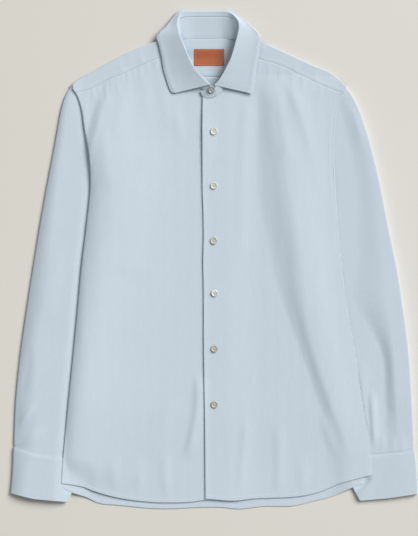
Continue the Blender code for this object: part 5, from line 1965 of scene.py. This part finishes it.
def button_thread_bars():
    """The thread through each button's holes: two bars across its dished middle."""
    made = []
    for node, turn, tip_x, tip_y, _ in BUTTONS:
        matrix = np.array(button_matrix(node, turn, tip_x, tip_y))
        local = np.array([(0.0, HOLE_OFFSET, 0.0), (0.0, -HOLE_OFFSET, 0.0)])
        local[:, 2] = size("button_height") * 0.66 + 0.2
        middles = local @ matrix[:3, :3].T + matrix[:3, 3] / MM
        along = np.tile(matrix[:3, 0], (2, 1))
        normals = np.tile(matrix[:3, 2], (2, 1))
        made.append(stitch_bars(middles, along, normals, 2 * HOLE_OFFSET + 1.1, 0.4))
    return made


class SHIRT_OT_stitches(bpy.types.Operator):
    """Sew the stitch rows, the buttonholes and the buttons' threads."""

    bl_idname = "shirt.stitches"
    bl_label = "Stitches"

    def execute(self, context):
        looks = context.scene.shirt_looks
        pale = thread_material("thread_pale_blue", looks.thread)
        border = thread_material("thread_label", looks.label_thread)
        for name, parts, material in (
            ("stitches_hems", hem_rows(), pale),
            ("stitches_seams", seam_rows(), pale),
            ("stitches_cuffs", cuff_rows("right") + cuff_rows("left"), pale),
            ("stitches_collar", leaf_rows() + stand_rows(), pale),
            ("stitches_label", label_rows(), border),
            ("stitches_buttonholes", buttonhole_rows(), pale),
            ("stitches_buttons", button_thread_bars(), pale),
        ):
            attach(add_piece(name, parts, material), "root")
        return {"FINISHED"}


class SHIRT_OT_cuts(bpy.types.Operator):
    bl_idname = "shirt.cuts"
    bl_label = "Cuts"

    def execute(self, context):
        return {"FINISHED"}


VIEW_CENTRE = (-7.8, -13.6)
SENSOR = 36.0


class SHIRT_OT_stage(bpy.types.Operator):
    """Set the floor, the light and the camera."""

    bl_idname = "shirt.stage"
    bl_label = "Stage"

    def execute(self, context):
        stage = context.scene.shirt_stage
        mesh = bpy.data.meshes.new("floor")
        half, drop = 4.0, -0.0004
        corners = [(x * half, y * half, drop) for x, y in ((-1, -1), (1, -1), (1, 1), (-1, 1))]
        mesh.from_pydata(corners, [], [(0, 1, 2, 3)])
        mesh.materials.append(floor_material(stage.floor_shaded_left, stage.floor_lit_right))
        place_object("floor", mesh)

        lamp = bpy.data.lights.new("lamp", "SUN")
        lamp.energy = stage.lamp_share * math.pi / math.sin(stage.lamp_elevation)
        lamp.angle = stage.lamp_angle
        lamp.color = (1.0, 0.995, 0.985)
        sun = place_object("lamp", lamp)
        flat, up = math.cos(stage.lamp_elevation), math.sin(stage.lamp_elevation)
        towards = Vector((flat * math.cos(stage.lamp_azimuth), flat * math.sin(stage.lamp_azimuth), up))
        sun.rotation_euler = towards.to_track_quat("Z", "Y").to_euler()
        sun.location = towards * 3

        world = bpy.data.worlds.new("even_light")
        context.scene.world = world
        world.use_nodes = True
        nodes = Nodes(world.node_tree)
        background = world.node_tree.nodes["Background"]
        ambient = 1 - stage.lamp_share
        rays = nodes.add("ShaderNodeLightPath").outputs["Is Camera Ray"]
        nodes.put(background.inputs["Strength"], nodes.between(rays, 0.0, 1.0, ambient, 0.72))
        background.inputs["Color"].default_value = (0.985, 0.995, 1.0, 1.0)

        camera = bpy.data.cameras.new("view")
        camera.type = "PERSP"
        camera.sensor_fit = "VERTICAL"
        camera.sensor_height = SENSOR
        camera.lens = SENSOR * stage.view_height / stage.view_length
        camera.clip_end = 50.0
        eye = place_object("view", camera)
        eye.location = (VIEW_CENTRE[0] * MM, VIEW_CENTRE[1] * MM, stage.view_height)
        context.scene.camera = eye
        context.scene.view_settings.view_transform = "Standard"
        return {"FINISHED"}


class SHIRT_PT_panel(bpy.types.Panel):
    """The shirt's steps in order."""

    bl_label = "Needlecord Shirt"
    bl_space_type = "VIEW_3D"
    bl_region_type = "UI"
    bl_category = "Shirt"

    def draw(self, context):
        for step in STEPS:
            self.layout.operator(step.bl_idname)
        for group in ("shirt_sizes", "shirt_looks", "shirt_stage"):
            settings = getattr(context.scene, group)
            box = self.layout.box()
            for name in settings.__annotations__:
                box.prop(settings, name)


STEPS = (
    SHIRT_OT_sleeves,
    SHIRT_OT_body,
    SHIRT_OT_collar,
    SHIRT_OT_buttons,
    SHIRT_OT_stitches,
    SHIRT_OT_cuts,
    SHIRT_OT_stage,
)
GROUPS = (ShirtSizes, ShirtLooks, ShirtStage)


def register():
    """Add the classes and the shirt's settings to Blender."""
    for kind in GROUPS + STEPS + (SHIRT_PT_panel,):
        bpy.utils.register_class(kind)
    bpy.types.Scene.shirt_sizes = PointerProperty(type=ShirtSizes)
    bpy.types.Scene.shirt_looks = PointerProperty(type=ShirtLooks)
    bpy.types.Scene.shirt_stage = PointerProperty(type=ShirtStage)


def unregister():
    """Take them out again."""
    del bpy.types.Scene.shirt_stage
    del bpy.types.Scene.shirt_looks
    del bpy.types.Scene.shirt_sizes
    for kind in reversed(GROUPS + STEPS + (SHIRT_PT_panel,)):
        bpy.utils.unregister_class(kind)


def main():
    """Make the shirt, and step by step."""
    register()
    bpy.ops.shirt.sleeves()
    bpy.ops.shirt.body()
    bpy.ops.shirt.collar()
    bpy.ops.shirt.buttons()
    bpy.ops.shirt.stitches()
    bpy.ops.shirt.cuts()
    bpy.ops.shirt.stage()


if __name__ == "__main__":
    main()
